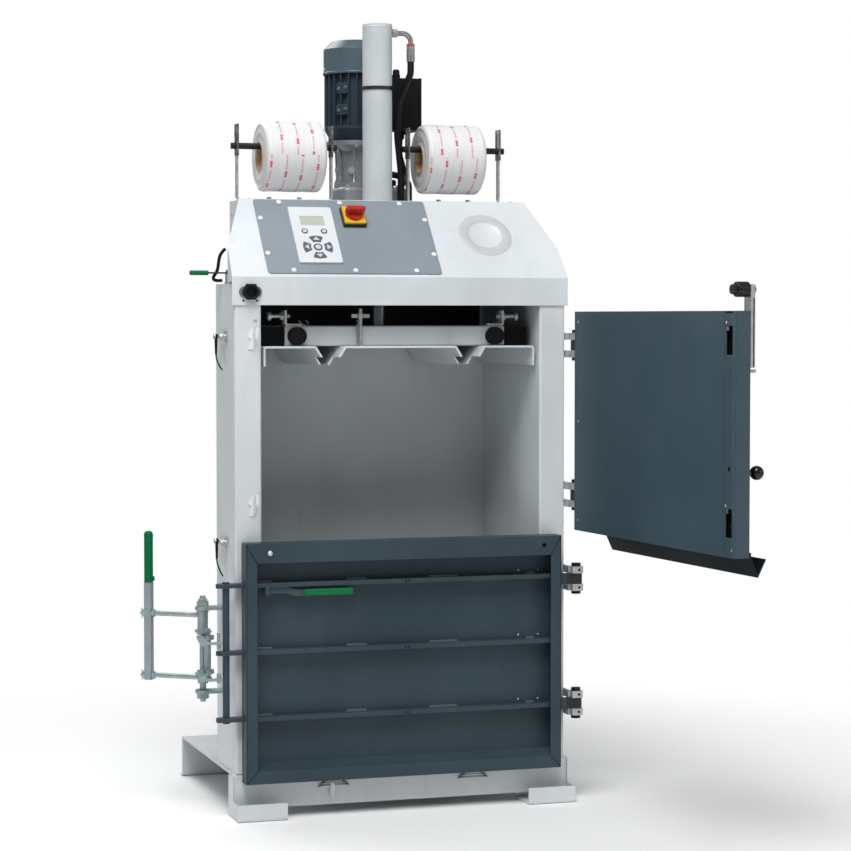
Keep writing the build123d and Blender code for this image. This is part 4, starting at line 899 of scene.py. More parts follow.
ELBOW_ZINC = Galvanised("elbow_zinc", (0.46, 0.46, 0.45), Sheen.SEMI_GLOSS)
DARK_STEEL = TurnedSteel("dark_steel", (0.020, 0.020, 0.022), Sheen.SATIN, 0.3, 0.3)
BRIGHT_STEEL = TurnedSteel("bright_steel", (0.78, 0.79, 0.80), Sheen.GLOSSY)
# Chrome rod coloured dark to paint the shade it sits in behind the beam.
SHADED_CHROME_ROD = TurnedSteel("shaded_chrome_rod", (0.26, 0.27, 0.28), Sheen.GLOSSY)
BLACK_PLASTIC = Moulded("black_plastic", BLACK, bloom=grey(0.05), bloom_share=0.06, specular=0.14)
BLACK_RUBBER = Moulded(
    "black_rubber", (0.005, 0.005, 0.0055), Sheen.MATTE, bloom=grey(0.06), bloom_share=0.08, specular=0.15
)
GREEN_PLASTIC = Moulded(
    "green_plastic", GREEN, Sheen.SATIN, bloom=GREEN_BLOOM, bloom_share=0.08, specular=0.14
)
SIDE_LEVER_COAT = TippedLever(
    "side_lever_coat", GREEN, bloom=GREEN_BLOOM, bloom_share=0.08, specular=0.2
)
SOCKET_PLASTIC = FlangedSocket("socket_plastic", BLACK, bloom=grey(0.05))
PLUG_PLASTIC = Moulded("plug_plastic", (0.006, 0.006, 0.0065), Sheen.SATIN, bloom=grey(0.06))
BALL_GLOSS = Moulded("ball_gloss", BLACK, Sheen.GLOSSY, grain_depth=0.00001, bloom=grey(0.02))
SEAM = Moulded("seam_shadow", (0.004, 0.005, 0.006), Sheen.MATTE, bloom=grey(0.02), specular=0.1)
# Dark tone that paints the shade inside the strap slots.
SLOT_SHADE = Moulded("slot_shade_coat", (0.11, 0.11, 0.105), Sheen.MATTE, specular=0.2)
STRAP_END = Moulded(
    "strap_end", (0.74, 0.74, 0.73), Sheen.SATIN, grain=1500.0, grain_depth=0.0001, rounding=0.0
)
WHITE_CAPS = Moulded("white_caps", (0.72, 0.73, 0.74), Sheen.SEMI_GLOSS, bloom=grey(0.5))
KEYPAD_FOIL = Moulded("keypad_foil", (0.64, 0.67, 0.70), Sheen.SATIN, bloom=grey(0.4))
KEY_GREY = Moulded("key_grey", (0.085, 0.095, 0.11), Sheen.SATIN)
KEY_PRINT = Moulded("key_print", (0.55, 0.57, 0.60), Sheen.SATIN)
RED_PLASTIC = Moulded("red_plastic", (0.42, 0.012, 0.014), Sheen.SEMI_GLOSS, bloom=(0.6, 0.2, 0.2))
RED_RING = Moulded("red_ring", (0.5, 0.02, 0.02), Sheen.SATIN)
HOSE = HoseCover("hose_cover")
ALLOY = Casting(
    "alloy_casting", (0.25, 0.265, 0.285), Sheen.SATIN, metallic=0.45, grime=(0.04, 0.04, 0.045)
)
ENAMEL = Casting("motor_enamel", (0.017, 0.031, 0.042), grime=(0.008, 0.010, 0.012), specular=0.25)
FAN_ENAMEL = Casting(
    "fan_cover_enamel", (0.056, 0.088, 0.107), Sheen.SEMI_GLOSS, grime=(0.04, 0.055, 0.065), specular=0.6
)


class MeshShop:
    """Builds one mesh from turned, cut and swept forms."""

    def __init__(self, name: str) -> None:
        """Starts an empty mesh for a piece of that name."""
        self.name = name
        self.mesh = bmesh.new()

    def ring(self, points: Iterable[Sequence[float]]) -> list[bmesh.types.BMVert]:
        """Adds vertices at points and returns them."""
        return [self.mesh.verts.new(point) for point in points]

    def circle(
        self, plane: Plane, radius: float, height: float, steps: int, start: float = 0.0
    ) -> list[bmesh.types.BMVert]:
        """Adds vertices evenly round a plane's normal, or a single one where the radius is 0."""
        turns = [start + math.tau * k / steps for k in range(steps if radius else 1)]
        return self.ring(plane.at(radius * math.cos(a), radius * math.sin(a), height) for a in turns)

    def bridge(self, rings: Sequence[Sequence[bmesh.types.BMVert]], ends: bool = False) -> None:
        """Fills quads between rings of equal length, and both end faces if they are wanted."""
        for low, high in zip(rings, rings[1:]):
            for i in range(len(low)):
                j = (i + 1) % len(low)
                self.mesh.faces.new((low[i], low[j], high[j], high[i]))
        if ends:
            self.mesh.faces.new(rings[-1])
            self.mesh.faces.new(list(reversed(rings[0])))

    def prism(self, plane: Plane, outline: Sequence[Pair], low: float, high: float) -> None:
        """Cuts a plate.

        Args:
            plane: Plane of its outline.
            outline: Corners in local metres, anticlockwise.
            low: Local height of its lower face.
            high: Local height of its upper face.
        """
        faces = [self.ring(plane.at(u, v, height) for u, v in outline) for height in (low, high)]
        self.bridge(faces, ends=True)

    def block(self, plane: Plane, low: Triple, high: Triple) -> None:
        """Cuts a rectangular block between two local corners."""
        (x0, y0, z0), (x1, y1, z1) = low, high
        self.prism(plane, [(x0, y0), (x1, y0), (x1, y1), (x0, y1)], z0, z1)

    def lathe(
        self, plane: Plane, profile: Sequence[Pair], steps: int = 48, closed: bool = False
    ) -> None:
        """Turns a profile about the plane's normal.

        Args:
            plane: Plane whose normal is the axis.
            profile: Pairs of radius and height in metres. A radius of 0 closes the end.
            steps: Facets round the axis.
            closed: Whether the last pair joins the first.
        """
        rings = [self.circle(plane, radius, height, steps) for radius, height in profile]
        following = [*rings[1:], rings[0]] if closed else rings[1:]
        for low, high in zip(rings, following):
            if len(low) == len(high):
                self.bridge([low, high])
                continue
            for i in range(steps):
                j = (i + 1) % steps
                corners = (low[0], high[j], high[i]) if len(low) == 1 else (low[i], low[j], high[0])
                self.mesh.faces.new(corners)

    def disc(self, plane: Plane, radius: float, low: float, high: float, steps: int) -> None:
        """Turns a solid disc between two local heights."""
        self.lathe(plane, [(0.0, low), (radius, low), (radius, high), (0.0, high)], steps)

    def washer(self, plane: Plane, radii: Pair, low: float, high: float, steps: int = 32) -> None:
        """Turns a flat ring between two local heights, from its inner and outer radius."""
        inner, outer = radii
        self.lathe(plane, [(inner, low), (outer, low), (outer, high), (inner, high)], steps, True)

    def hexagon(self, plane: Plane, radius: float, low: float, high: float, turn: float) -> None:
        """Cuts a hexagonal head with a chamfered top.

        Args:
            plane: Plane whose origin is the middle of the head.
            radius: Distance from the middle to a corner.
            low: Local height of its seat.
            high: Local height of its top.
            turn: Turn about its axis in radians.
        """
        sections = ((radius, low), (radius, high - 0.12 * radius), (0.86 * radius, high))
        self.bridge([self.circle(plane, reach, level, 6, turn) for reach, level in sections], ends=True)

    def bolt(self, plane: Plane, radius: float, height: float, washer: float = 0.0012) -> None:
        """Sets a hexagon bolt on a washer.

        Args:
            plane: Plane whose origin is the middle of the seat.
            radius: Distance from the middle of the head to a corner.
            height: Height of the head over the washer.
            washer: Thickness of the washer.
        """
        self.disc(plane, 1.25 * radius, 0.0, washer, 28)
        self.hexagon(plane, radius, washer, washer + height, 0.3)

    def dome(self, plane: Plane, radius: float, height: float) -> None:
        """Sets a low domed head on a plane, from its edge radius and height."""
        turns = [math.pi / 12 * i for i in range(6)]
        crown = [(radius * math.cos(a), height * math.sin(a)) for a in turns]
        self.lathe(plane, [(0.0, 0.0), *crown, (0.0, height)], 28)

    def studs(
        self,
        direction: Sequence[float],
        xs: Iterable[float],
        ys: Iterable[float],
        zs: Iterable[float],
        radius: float,
        height: float,
        washer: float = 0.0,
    ) -> None:
        """Sets equal heads on a grid of places.

        Args:
            direction: Way that the heads face.
            xs: Their places on X.
            ys: Their places on Y.
            zs: Their places on Z.
            radius: Radius of a head.
            height: Height of a head.
            washer: Thickness of its washer. Without one the heads are domes.
        """
        for place in product(xs, ys, zs):
            seat = facing(direction, place)
            if washer:
                self.bolt(seat, radius, height, washer)
            else:
                self.dome(seat, radius, height)

    def torus(self, plane: Plane, radius: float, thickness: float, height: float) -> None:
        """Lays a round ring.

        Args:
            plane: Plane whose normal is the axis.
            radius: Radius of its centre line.
            thickness: Radius of its section.
            height: Local height of the centre line.
        """
        turns = [math.pi / 4 * i for i in range(8)]
        section = [(radius + thickness * math.cos(a), height + thickness * math.sin(a)) for a in turns]
        self.lathe(plane, section, 40, closed=True)

    def tube(self, points: Iterable[Sequence[float]], radius: float, steps: int = 12) -> None:
        """Sweeps a round section along points.

        Args:
            points: Centre line, close enough together to look smooth.
            radius: Radius in metres.
            steps: Facets round the section.
        """
        line = [Vector(point) for point in points]
        turns = [math.tau * k / steps for k in range(steps)]
        rings = []
        side = None
        for i, point in enumerate(line):
            ahead = (line[min(i + 1, len(line) - 1)] - line[max(i - 1, 0)]).normalized()
            side = side or ahead.orthogonal().normalized()
            side = (side - ahead * side.dot(ahead)).normalized()
            up = ahead.cross(side)
            rings.append(
                self.ring(point + (side * math.cos(a) + up * math.sin(a)) * radius for a in turns)
            )
        self.bridge(rings, ends=True)

    def weld(self, start: Triple, run: Triple, ripple: float, radius: float) -> None:
        """Lays a weld bead with the ripple of its pools.

        Args:
            start: First point.
            run: Way from the first point to the last.
            ripple: Height of the ripple.
            radius: Radius of the bead.
        """
        first, way = Vector(start), Vector(run)
        count = max(8, int(way.length / WELD_STEP))
        lift = Vector(UP if abs(way.normalized().z) < 0.5 else REAR) * ripple
        points = [first + way * (i / count) + lift * math.sin(i * WELD_RATE) for i in range(count + 1)]
        self.tube(points, radius, 8)

    def build(
        self, body: str, slot: str, material: bpy.types.Material, smooth: float, bevel: float
    ) -> bpy.types.Object:
        """Makes the object and lets it ride on a body.

        Args:
            body: Body that carries it.
            slot: Not used.
            material: Its material.
            smooth: Largest angle in degrees that is shaded smooth.
            bevel: Width of bevelled edges, or 0.

        Returns:
            The new object.
        """
        bmesh.ops.recalc_face_normals(self.mesh, faces=self.mesh.faces)
        data = bpy.data.meshes.new(self.name)
        self.mesh.to_mesh(data)
        self.mesh.free()
        for polygon in data.polygons:
            polygon.use_smooth = True
        data.set_sharp_from_angle(angle=math.radians(smooth))
        data.materials.append(material)
        made = bpy.data.objects.new(self.name, data)
        bpy.context.scene.collection.objects.link(made)
        if bevel:
            modifier = made.modifiers.new("bevel", "BEVEL")
            modifier.width = bevel
            modifier.segments = 2
            modifier.limit_method = "ANGLE"
        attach(made, body)
        log.info("%s: %d faces on %s", self.name, len(data.polygons), body)
        return made


@dataclass
class Workshop:
    """The loaded frame and the finishes shared by the sub-assemblies."""

    frame: dict[str, Any]
    shelf: dict[str, bpy.types.Material] = field(default_factory=dict)

    def finish(self, finish: Finish) -> bpy.types.Material:
        """Material of a finish, built once."""
        if finish.name not in self.shelf:
            self.shelf[finish.name] = finish.material()
        return self.shelf[finish.name]

    def dress(self, finish: Finish, *nodes: str) -> None:
        """Gives nodes of the frame a finish."""
        material = self.finish(finish)
        for name in nodes:
            for slot in self.frame["nodes"][name].material_slots:
                slot.material = material
            log.info("%s: %s", name, finish.name)

    @contextmanager
    def piece(
        self,
        name: str,
        body: str,
        slot: str,
        finish: Finish,
        smooth: float = 40.0,
        bevel: float = 0.0,
    ) -> Iterator[MeshShop]:
        """Hands out an empty mesh and builds the piece when the block ends.

        Args:
            name: Name of the piece.
            body: Body that carries it.
            slot: Passed on to MeshShop.build, which does not use it.
            finish: Its finish.
            smooth: Largest angle in degrees that is shaded smooth.
            bevel: Width of bevelled edges, or 0.

        Yields:
            The mesh to fill.
        """
        mesh = MeshShop(name)
        yield mesh
        mesh.build(body, slot, self.finish(finish), smooth, bevel)


@dataclass
class Assembly:
    """A sub-assembly that the shared workshop dresses and adds small parts to."""

    shop: Workshop


@dataclass
class Bodywork(Assembly):
    """Base, posts, chamber, cabinet and hood."""

    holes: tuple[Triple, ...] = ((-0.4035, -0.004, 1.2555), (-0.3695, -0.004, 1.2555))
    hole_radius: float = 0.0028
    post_rivets: tuple[Any, ...] = (FRONT, (-0.3735,), (0.0,), (1.2085, 0.7520), 0.0050, 0.0018)
    plinth: float = -0.0054
    slots: Pair = (-0.180, 0.180)
    arch_level: float = 0.066
    arch_size: Pair = (0.040, 0.0212)
    lips: tuple[tuple[float, ...], ...] = (
        (0.0172, 0.0235, 0.0046, 0.0020),
        (0.0122, 0.0315, 0.0050, 0.0030),
        (0.0064, 0.0385, 0.0066, 0.0038),
    )
    tail_x: float = -0.1845
    tail_knots: tuple[Pair, ...] = (
        (0.0020, 0.0835),
        (-0.0085, 0.0810),
        (-0.0132, 0.0730),
        (-0.0132, 0.0600),
        (-0.0118, 0.0450),
        (-0.0124, 0.0290),
    )
    tail_size: Pair = (0.0056, 0.0004)
    tail_twist: float = 0.15
    straight_share: float = 0.62
    cheek_x: float = 0.4337
    cheek_outline: tuple[Pair, ...] = (
        (-0.0535, 0.0068),
        (0.0338, 0.0068),
        (0.0338, 0.1035),
        (-0.0046, 0.1035),
        (-0.0046, 0.0415),
        (-0.0535, 0.0410),
    )
    heads: tuple[tuple[Any, ...], ...] = (
        (REAR, (-0.33, 0.33), (0.330,), (1.325,), 0.0055, 0.0026),
        (REAR, (-0.33, -0.11, 0.11, 0.33), (0.330,), (1.485,), 0.0055, 0.0026),
        (UP, (-0.345, 0.345), (0.185, 0.315), (1.509,), 0.0055, 0.0026),
        (UP, (-0.34, -0.17, 0.17, 0.34), (0.437,), (1.301,), 0.0075, 0.0055, 0.0012),
        (REAR, (-0.2, 0.2), (0.494,), (0.19, 0.52, 0.85, 1.18), 0.0085, 0.006, 0.0012),
        (UP, (-0.36, 0.36), (0.6025,), (0.005,), 0.0075, 0.0055, 0.0012),
        (LEFT, (-0.358,), (0.205, 0.300), (1.335, 1.475), 0.005, 0.0024),
        (RIGHT, (0.358,), (0.205, 0.300), (1.335, 1.475), 0.005, 0.0024),
    )
    beads: tuple[tuple[Any, ...], ...] = (
        (0.4254, (0.012, 0.075, 0.138), (0.1088,), (0.0, 0.038, 0.0), 0.0024),
        (0.3664, (0.20, 0.29, 0.38), (0.1088,), (0.0, 0.045, 0.0), 0.0024),
        (0.3666, (0.1906,), (0.16, 0.36, 0.56, 0.76, 0.96, 1.16), (0.0, 0.0, 0.05), 0.0022),
    )

    def build(self) -> None:
        """Dresses the sheet metal and adds holes, bolts, seams and strap guides."""
        self.shop.dress(PALE_GREY, "base_frame", "front_feet", "cabinet", "hood")
        self.shop.dress(SHELL_GREY, "portal_posts", "chamber_shell", "frame_channels", "chamber_roof")
        with self.shop.piece("small_holes", "frame", "black_plastic", SEAM) as holes:
            for place in self.holes:
                holes.disc(facing(FRONT, place), self.hole_radius, 0.0, 0.00005, 20)
        with self.shop.piece("post_rivets", "frame", "zinc_steel", ZINC) as rivets:
            rivets.studs(*self.post_rivets)
        self._guides()
        self._tail()
        with self.shop.piece("foot_cheeks", "frame", "body_paint", PALE_GREY, bevel=0.0005) as cheeks:
            for side in (-1, 1):
                end = facing((side, 0, 0), (side * self.cheek_x, 0, 0))
                outline = [(side * y, z) for y, z in self.cheek_outline][::side]
                cheeks.prism(end, outline, -0.0018, 0.0)
        with self.shop.piece("body_bolts", "frame", "zinc_steel", ZINC, smooth=35.0) as bolts:
            for row in self.heads:
                bolts.studs(*row)
        with self.shop.piece("body_welds", "frame", "body_paint", PALE_GREY, smooth=70.0) as welds:
            for side, (half, ys, zs, run, radius) in product((-1, 1), self.beads):
                for y, z in product(ys, zs):
                    welds.weld((side * half, y, z), run, 0.0004, radius)

    def _guides(self) -> None:
        """Adds a dark arch of painted shade at each strap slot, with three bulging lips in it."""
        front = facing(FRONT, (0, self.plinth + 0.0004, 0))
        with self.shop.piece("strap_guides", "frame", "body_paint", PALE_GREY, smooth=50.0) as guides:
            for x, (height, reach, drop, bulge) in product(self.slots, self.lips):
                rings = []
                for share in (-1 + k / 12 for k in range(25)):
                    belly = (1 - share * share) ** 0.6
                    level = self.arch_level + height - 0.0040 * share * share
                    middle = Vector((x + reach * share, self.plinth - 0.0002, level))
                    out = Vector((0, -bulge * belly - 0.0004, 0))
                    down = Vector((0, 0, -drop * belly - 0.0004))
                    shares = ((0.0, 0.0), (0.7, 0.15), (1.0, 0.6), (0.5, 1.0))
                    rings.append(guides.ring(middle + out * a + down * b for a, b in shares))
                guides.bridge(rings, ends=True)
        # Painted shade: a thin dark arch stands for the shade inside each strap slot.
        with self.shop.piece("strap_slot_shade", "frame", "body_paint", SLOT_SHADE) as shade_arches:
            half, rise = self.arch_size
            for x in self.slots:
                turns = [math.pi * k / 32 for k in range(33)]
                arch = [
                    (x + half * math.cos(a), self.arch_level + rise * math.sin(a) ** 1.4) for a in turns
                ]
                shade_arches.prism(front, arch, 0.0, 0.00012)

    def _tail(self) -> None:
        """Adds the strap end that hangs out of the left slot and twists near its end."""
        path = curve([(self.tail_x, y, z) for y, z in self.tail_knots], 6)
        half, thickness = self.tail_size
        with self.shop.piece("strap_tail", "frame", "strap_white", STRAP_END, smooth=60.0) as tail:
            rings = []
            for i, point in enumerate(path):
                bent = max(0.0, i / (len(path) - 1) - self.straight_share)
                twist = self.tail_twist + bent / (1 - self.straight_share)
                across = Vector((math.cos(twist), -math.sin(twist), 0)) * half
                through = Vector((math.sin(twist), math.cos(twist), 0)) * thickness
                low, high = point - through, point + through
                rings.append(tail.ring((low - across, low + across, high + across, high - across)))
            tail.bridge(rings, ends=True)


@dataclass
class Console(Assembly):
    """Control plate on the slope of the hood, with keypad, display and main switch."""

    button_top: float = 0.0092
    print_height: float = 0.0003
    rose: Pair = (-0.2025, 0.090)
    arrow: tuple[Pair, ...] = ((0.0340, 0.0), (0.0230, 0.0085), (0.0230, -0.0085))
    arrows: tuple[tuple[str, float], ...] = (
        ("right_button", 0.0),
        ("up_button", 90.0),
        ("left_button", 180.0),
        ("down_button", 270.0),
    )
    rounds: tuple[tuple[str, Pair, float], ...] = (
        ("menu_button_left", (-0.227, 0.143), 0.0054),
        ("menu_button_right", (-0.178, 0.143), 0.0054),
        ("enter_button", (-0.2025, 0.090), 0.0072),
    )
    badge: Pair = (0.244, 0.1425)
    badge_radii: Pair = (0.04278, 0.069)

    def build(self) -> None:
        """Dresses the console and adds the key marks and the plain badge."""
        shop = self.shop
        shop.dress(BLUE_GREY, "control_plate")
        shop.dress(WHITE_CAPS, "plate_screws")
        shop.dress(KEYPAD_FOIL, "keypad")
        shop.dress(LiquidCrystal("liquid_crystal"), "display")
        shop.dress(KEY_GREY, *(name for name, *_ in (*self.rounds, *self.arrows)))
        shop.dress(SwitchFace("switch_face"), "switch_base")
        shop.dress(RED_PLASTIC, "switch_knob")
        top, printed = self.button_top, self.print_height
        for name, degrees in self.arrows:
            with shop.piece(f"{name}_mark", name, "grey_plastic", KEY_PRINT) as mark:
                mark.prism(SLOPE.moved(*self.rose).turned(degrees), self.arrow, top, top + printed)
        for name, centre, radius in self.rounds:
            with shop.piece(f"{name}_mark", name, "grey_plastic", KEY_PRINT) as mark:
                profile = [(0.0, 0.0), (radius, 0.0), (radius - printed, printed), (0.0, printed)]
                mark.lathe(SLOPE.moved(*centre, top), profile, 32)
        inner, rim = self.badge_radii
        foil = PlainBadge("badge_foil", self.badge, inner)
        with shop.piece("plain_badge", "frame", "body_paint", foil) as badge:
            profile = [
                (0.0, 0.0),
                (rim, 0.0),
                (rim, 0.0004),
                (rim - 0.0006, 0.0007),
                (inner + 0.0006, 0.0007),
                (inner, 0.0003),
                (0.0, 0.0003),
            ]
            badge.lathe(SLOPE.moved(*self.badge), profile, 96)


@dataclass
class PowerPack(Assembly):
    """Cylinder, hoses, tank, pump, motor and terminal box."""

    cylinder: Pair = (0.0, 0.220)
    tie_turn: float = -38.4338
    tie_middle: float = 1.794
    ferrule: Triple = (0.0886, 0.220, 1.906)
    motor: Pair = (0.0, 0.412)
    fan_level: float = 1.844
    lug_reach: float = 0.0755
    lug_height: float = 0.0095
    fan_screw: Pair = (0.0849, 0.013)
    flange_screw: Pair = (0.0715, 0.0121)
    plug_reach: float = 0.0478
    tank_bolts: tuple[Pair, Pair] = ((-0.040, 0.096), (0.356, 0.448))
    cap_place: Pair = (0.092, 0.414)
    drain_place: Triple = (0.028, 0.470, 1.360)
    roof_flange: tuple[Pair, Pair] = ((-0.058, 0.058), (0.162, 0.278))
    roof: float = 1.321
    skirt: tuple[Pair, ...] = (
        (0.08505, 0.0005),
        (0.0864, 0.0005),
        (0.0868, 0.0015),
        (0.0868, 0.0045),
        (0.0862, 0.0060),
        (0.08505, 0.0068),
    )
    lug_turns: Pair = (-131.4, 48.6)
    lug_levels: Pair = (1.805, 1.750)
    lug_outline: tuple[Pair, ...] = (
        (-0.017, -0.010),
        (-0.012, -0.014),
        (0.012, -0.014),
        (0.017, -0.010),
        (0.017, 0.010),
        (0.012, 0.014),
        (-0.012, 0.014),
        (-0.017, 0.010),
    )
    bell_top: float = 1.672
    tank_top: float = 1.552
    bell_rib: tuple[Pair, ...] = (
        (0.044, 1.564),
        (0.0585, 1.564),
        (0.0535, 1.576),
        (0.0560, 1.642),
        (0.0655, 1.6595),
        (0.044, 1.6595),
    )
    bell_plugs: tuple[Pair, ...] = ((-118.9, 1.595), (-70.0, 1.600), (60.0, 1.595), (150.0, 1.600))
    cap: tuple[Pair, ...] = (
        (0.0, 0.0),
        (0.010, 0.0),
        (0.010, 0.008),
        (0.016, 0.008),
        (0.0165, 0.020),
        (0.014, 0.023),
        (0.0, 0.023),
    )
    drain: tuple[Pair, ...] = ((0.0, 0.0), (0.012, 0.0), (0.012, 0.004), (0.008, 0.0045), (0.0, 0.0045))
    terminal: tuple[Triple, Triple] = ((0.083, 0.372, 1.703), (0.165, 0.452, 1.838))
    top_gland: tuple[Pair, ...] = (
        (0.0, 0.0),
        (0.011, 0.0),
        (0.011, 0.010),
        (0.0095, 0.011),
        (0.0095, 0.019),
        (0.007, 0.024),
        (0.0, 0.024),
    )
    cable_gland: tuple[Pair, ...] = (
        (0.0, 0.0),
        (0.0115, 0.0),
        (0.0115, 0.009),
        (0.009, 0.0095),
        (0.009, 0.018),
        (0.006, 0.022),
        (0.0, 0.022),
    )
    cable: tuple[Triple, ...] = (
        (0.124, 0.418, 1.683),
        (0.124, 0.418, 1.643),
        (0.136, 0.425, 1.593),
        (0.130, 0.450, 1.503),
        (0.124, 0.452, 1.403),
        (0.124, 0.440, 1.305),
    )

    def build(self) -> None:
        """Dresses the power pack and adds its castings, bolts and cable."""
        shop = self.shop
        shop.dress(CylinderCoat("cylinder_coat"), "cylinder_tube")
        shop.dress(SHADED_CHROME_ROD, "piston_rod")
        shop.dress(ELBOW_ZINC, "port_elbow")
        shop.dress(HOSE, "hydraulic_hoses")
        shop.dress(ALLOY, "oil_tank")
        shop.dress(ENAMEL, "motor_body")
        shop.dress(FAN_ENAMEL, "fan_cover")
        shop.dress(BLACK_PLASTIC, "terminal_box")
        self._ferrule()
        self._motor()
        self._bell()
        self._terminal()
        self._cylinder()

    def _ferrule(self) -> None:
        """Adds the red ring and the pressed grooves of the hose ferrule."""
        x, y, z = self.ferrule
        with self.shop.piece("ferrule_ring", "frame", "red_plastic", RED_RING) as ring:
            ring.washer(facing(UP, self.ferrule), (0.0068, 0.0105), -0.0018, 0.0026)
        with self.shop.piece("ferrule_crimps", "frame", "zinc_steel", BRIGHT_STEEL, bevel=0.0003) as crimps:
            for degrees in range(0, 360, 45):
                spot = radial((x, y), degrees, 0.0, 0.0098)
                crimps.block(spot, (-0.0018, z - 0.039, 0.0), (0.0018, z - 0.007, 0.0008))

    def _motor(self) -> None:
        """Adds the skirt of the fan cover, the screwed lugs and the flange bolts."""
        shop = self.shop
        with shop.piece("fan_cover_skirt", "frame", "motor_paint", FAN_ENAMEL) as skirt:
            skirt.lathe(facing(UP, (*self.motor, self.fan_level)), self.skirt, 64, closed=True)
        spots = [
            radial(self.motor, degrees, level, self.lug_reach)
            for degrees, level in product(self.lug_turns, self.lug_levels)
        ]
        with shop.piece("motor_lugs", "frame", "motor_paint", ENAMEL, bevel=0.0012) as lugs:
            for spot in spots:
                lugs.prism(spot, self.lug_outline, 0.0, self.lug_height)
        with shop.piece("lug_screws", "frame", "motor_paint", FAN_ENAMEL, smooth=35.0) as heads:
            for spot, side in product(spots, (-1, 1)):
                seat = spot.moved(side * 0.0095, side * 0.002, self.lug_height)
                heads.bolt(seat, 0.0042, 0.0026, 0.0008)
        with shop.piece("motor_screws", "frame", "zinc_steel", ZINC, smooth=35.0) as screws:
            reach, lift = self.fan_screw
            for degrees in range(0, 360, 90):
                screws.dome(radial(self.motor, degrees, self.fan_level + lift, reach), 0.0032, 0.0016)
            reach, drop = self.flange_screw
            for degrees in range(15, 360, 60):
                seat = radial(self.motor, degrees, self.bell_top - drop, reach).origin
                screws.bolt(facing(DOWN, seat), 0.0060, 0.0045, 0.001)

    def _bell(self) -> None:
        """Adds ribs, plugs and a filler cap round the pump bell and the tank."""
        with self.shop.piece("bell_ribs", "frame", "body_paint", ALLOY, bevel=0.0008) as ribs:
            for k in range(8):
                flat = Plane(Vector((*self.motor, 0)), outwards(22.5 + 45 * k), Vector(UP))
                ribs.prism(flat, self.bell_rib, -0.0026, 0.0026)
        with self.shop.piece("bell_plugs", "frame", "zinc_steel", ZINC, smooth=35.0) as plugs:
            for degrees, level in self.bell_plugs:
                plugs.bolt(radial(self.motor, degrees, level, self.plug_reach), 0.0085, 0.007, 0.0015)
            plugs.studs(UP, *self.tank_bolts, (self.tank_top,), 0.0060, 0.0048, 0.0012)
        with self.shop.piece("filler_cap", "frame", "black_plastic", BLACK_PLASTIC) as cap:
            cap.lathe(facing(UP, (*self.cap_place, self.tank_top)), self.cap, 36)
            cap.lathe(facing(REAR, self.drain_place), self.drain, 32)

    def _terminal(self) -> None:
        """Adds the lid, ribs, glands, cable and screws of the terminal box."""
        (x0, y0, z0), (x1, y1, z1) = self.terminal
        with self.shop.piece("terminal_lid", "frame", "black_plastic", BLACK_PLASTIC, bevel=0.0005) as box:
            lid = facing(RIGHT, (x1, 0, 0))
            box.block(lid, (y0 - 0.0008, z0 - 0.0010, -0.006), (y1 + 0.0008, z1 + 0.0005, 0.0008))
            for z in (z0 + 0.014 + 0.0134 * k for k in range(9)):
                box.block(lid, (y0 + 0.012, z - 0.0018, 0.0008), (y1 - 0.012, z + 0.0018, 0.0020))
            front = facing(FRONT, (0, y0, 0))
            for x in (x0 + 0.016 + 0.0105 * k for k in range(5)):
                box.block(front, (x - 0.0012, z0 + 0.012, 0.0), (x + 0.0012, z1 - 0.012, 0.0012))
            box.lathe(facing(UP, (x0 + 0.022, 0.400, z1)), self.top_gland, 8)
            box.lathe(facing(DOWN, ((x0 + x1) / 2, 0.418, z0)), self.cable_gland, 8)
        with self.shop.piece("motor_cable", "frame", "black_rubber", HOSE, smooth=70.0) as cable:
            cable.tube(curve(self.cable), 0.0042)
        with self.shop.piece("terminal_screws", "frame", "zinc_steel", ZINC) as screws:
            ys, zs = (y0 + 0.006, y1 - 0.006), (z0 + 0.006, z1 - 0.006)
            screws.studs(RIGHT, (x1 + 0.0008,), ys, zs, 0.0036, 0.0016)

    def _cylinder(self) -> None:
        """Adds the cap groove, the flange bolts and the tail of the tie."""
        axis = facing(UP, (*self.cylinder, 0.0))
        top = [(0.0374, 1.9470), (0.0381, 1.9475), (0.0381, 1.9500), (0.0374, 1.9505)]
        foot = [(0.0374, 1.3211), (0.0425, 1.3211), (0.0405, 1.3245), (0.0374, 1.3270)]
        with self.shop.piece("cylinder_cap_ring", "frame", "body_paint", PALE_GREY) as cap:
            cap.lathe(axis, top, 64, closed=True)
            cap.lathe(axis, foot, 64, closed=True)
        with self.shop.piece("flange_bolts", "frame", "zinc_steel", ZINC, smooth=35.0) as bolts:
            bolts.studs(UP, *self.roof_flange, (self.roof,), 0.011, 0.009, 0.002)
        spot = radial(self.cylinder, self.tie_turn, self.tie_middle, 0.0400)
        tail = ((0.003, 0.0, 0.002), (0.012, -0.002, 0.006), (0.020, -0.010, 0.009))
        with self.shop.piece("tie_head", "frame", "black_plastic", BLACK_PLASTIC, bevel=0.0004) as tie:
            tie.block(spot, (-0.005, -0.0055, 0.0), (0.005, 0.0055, 0.004))
            tie.tube(curve(spot.at(*point) for point in tail), 0.0011, 8)


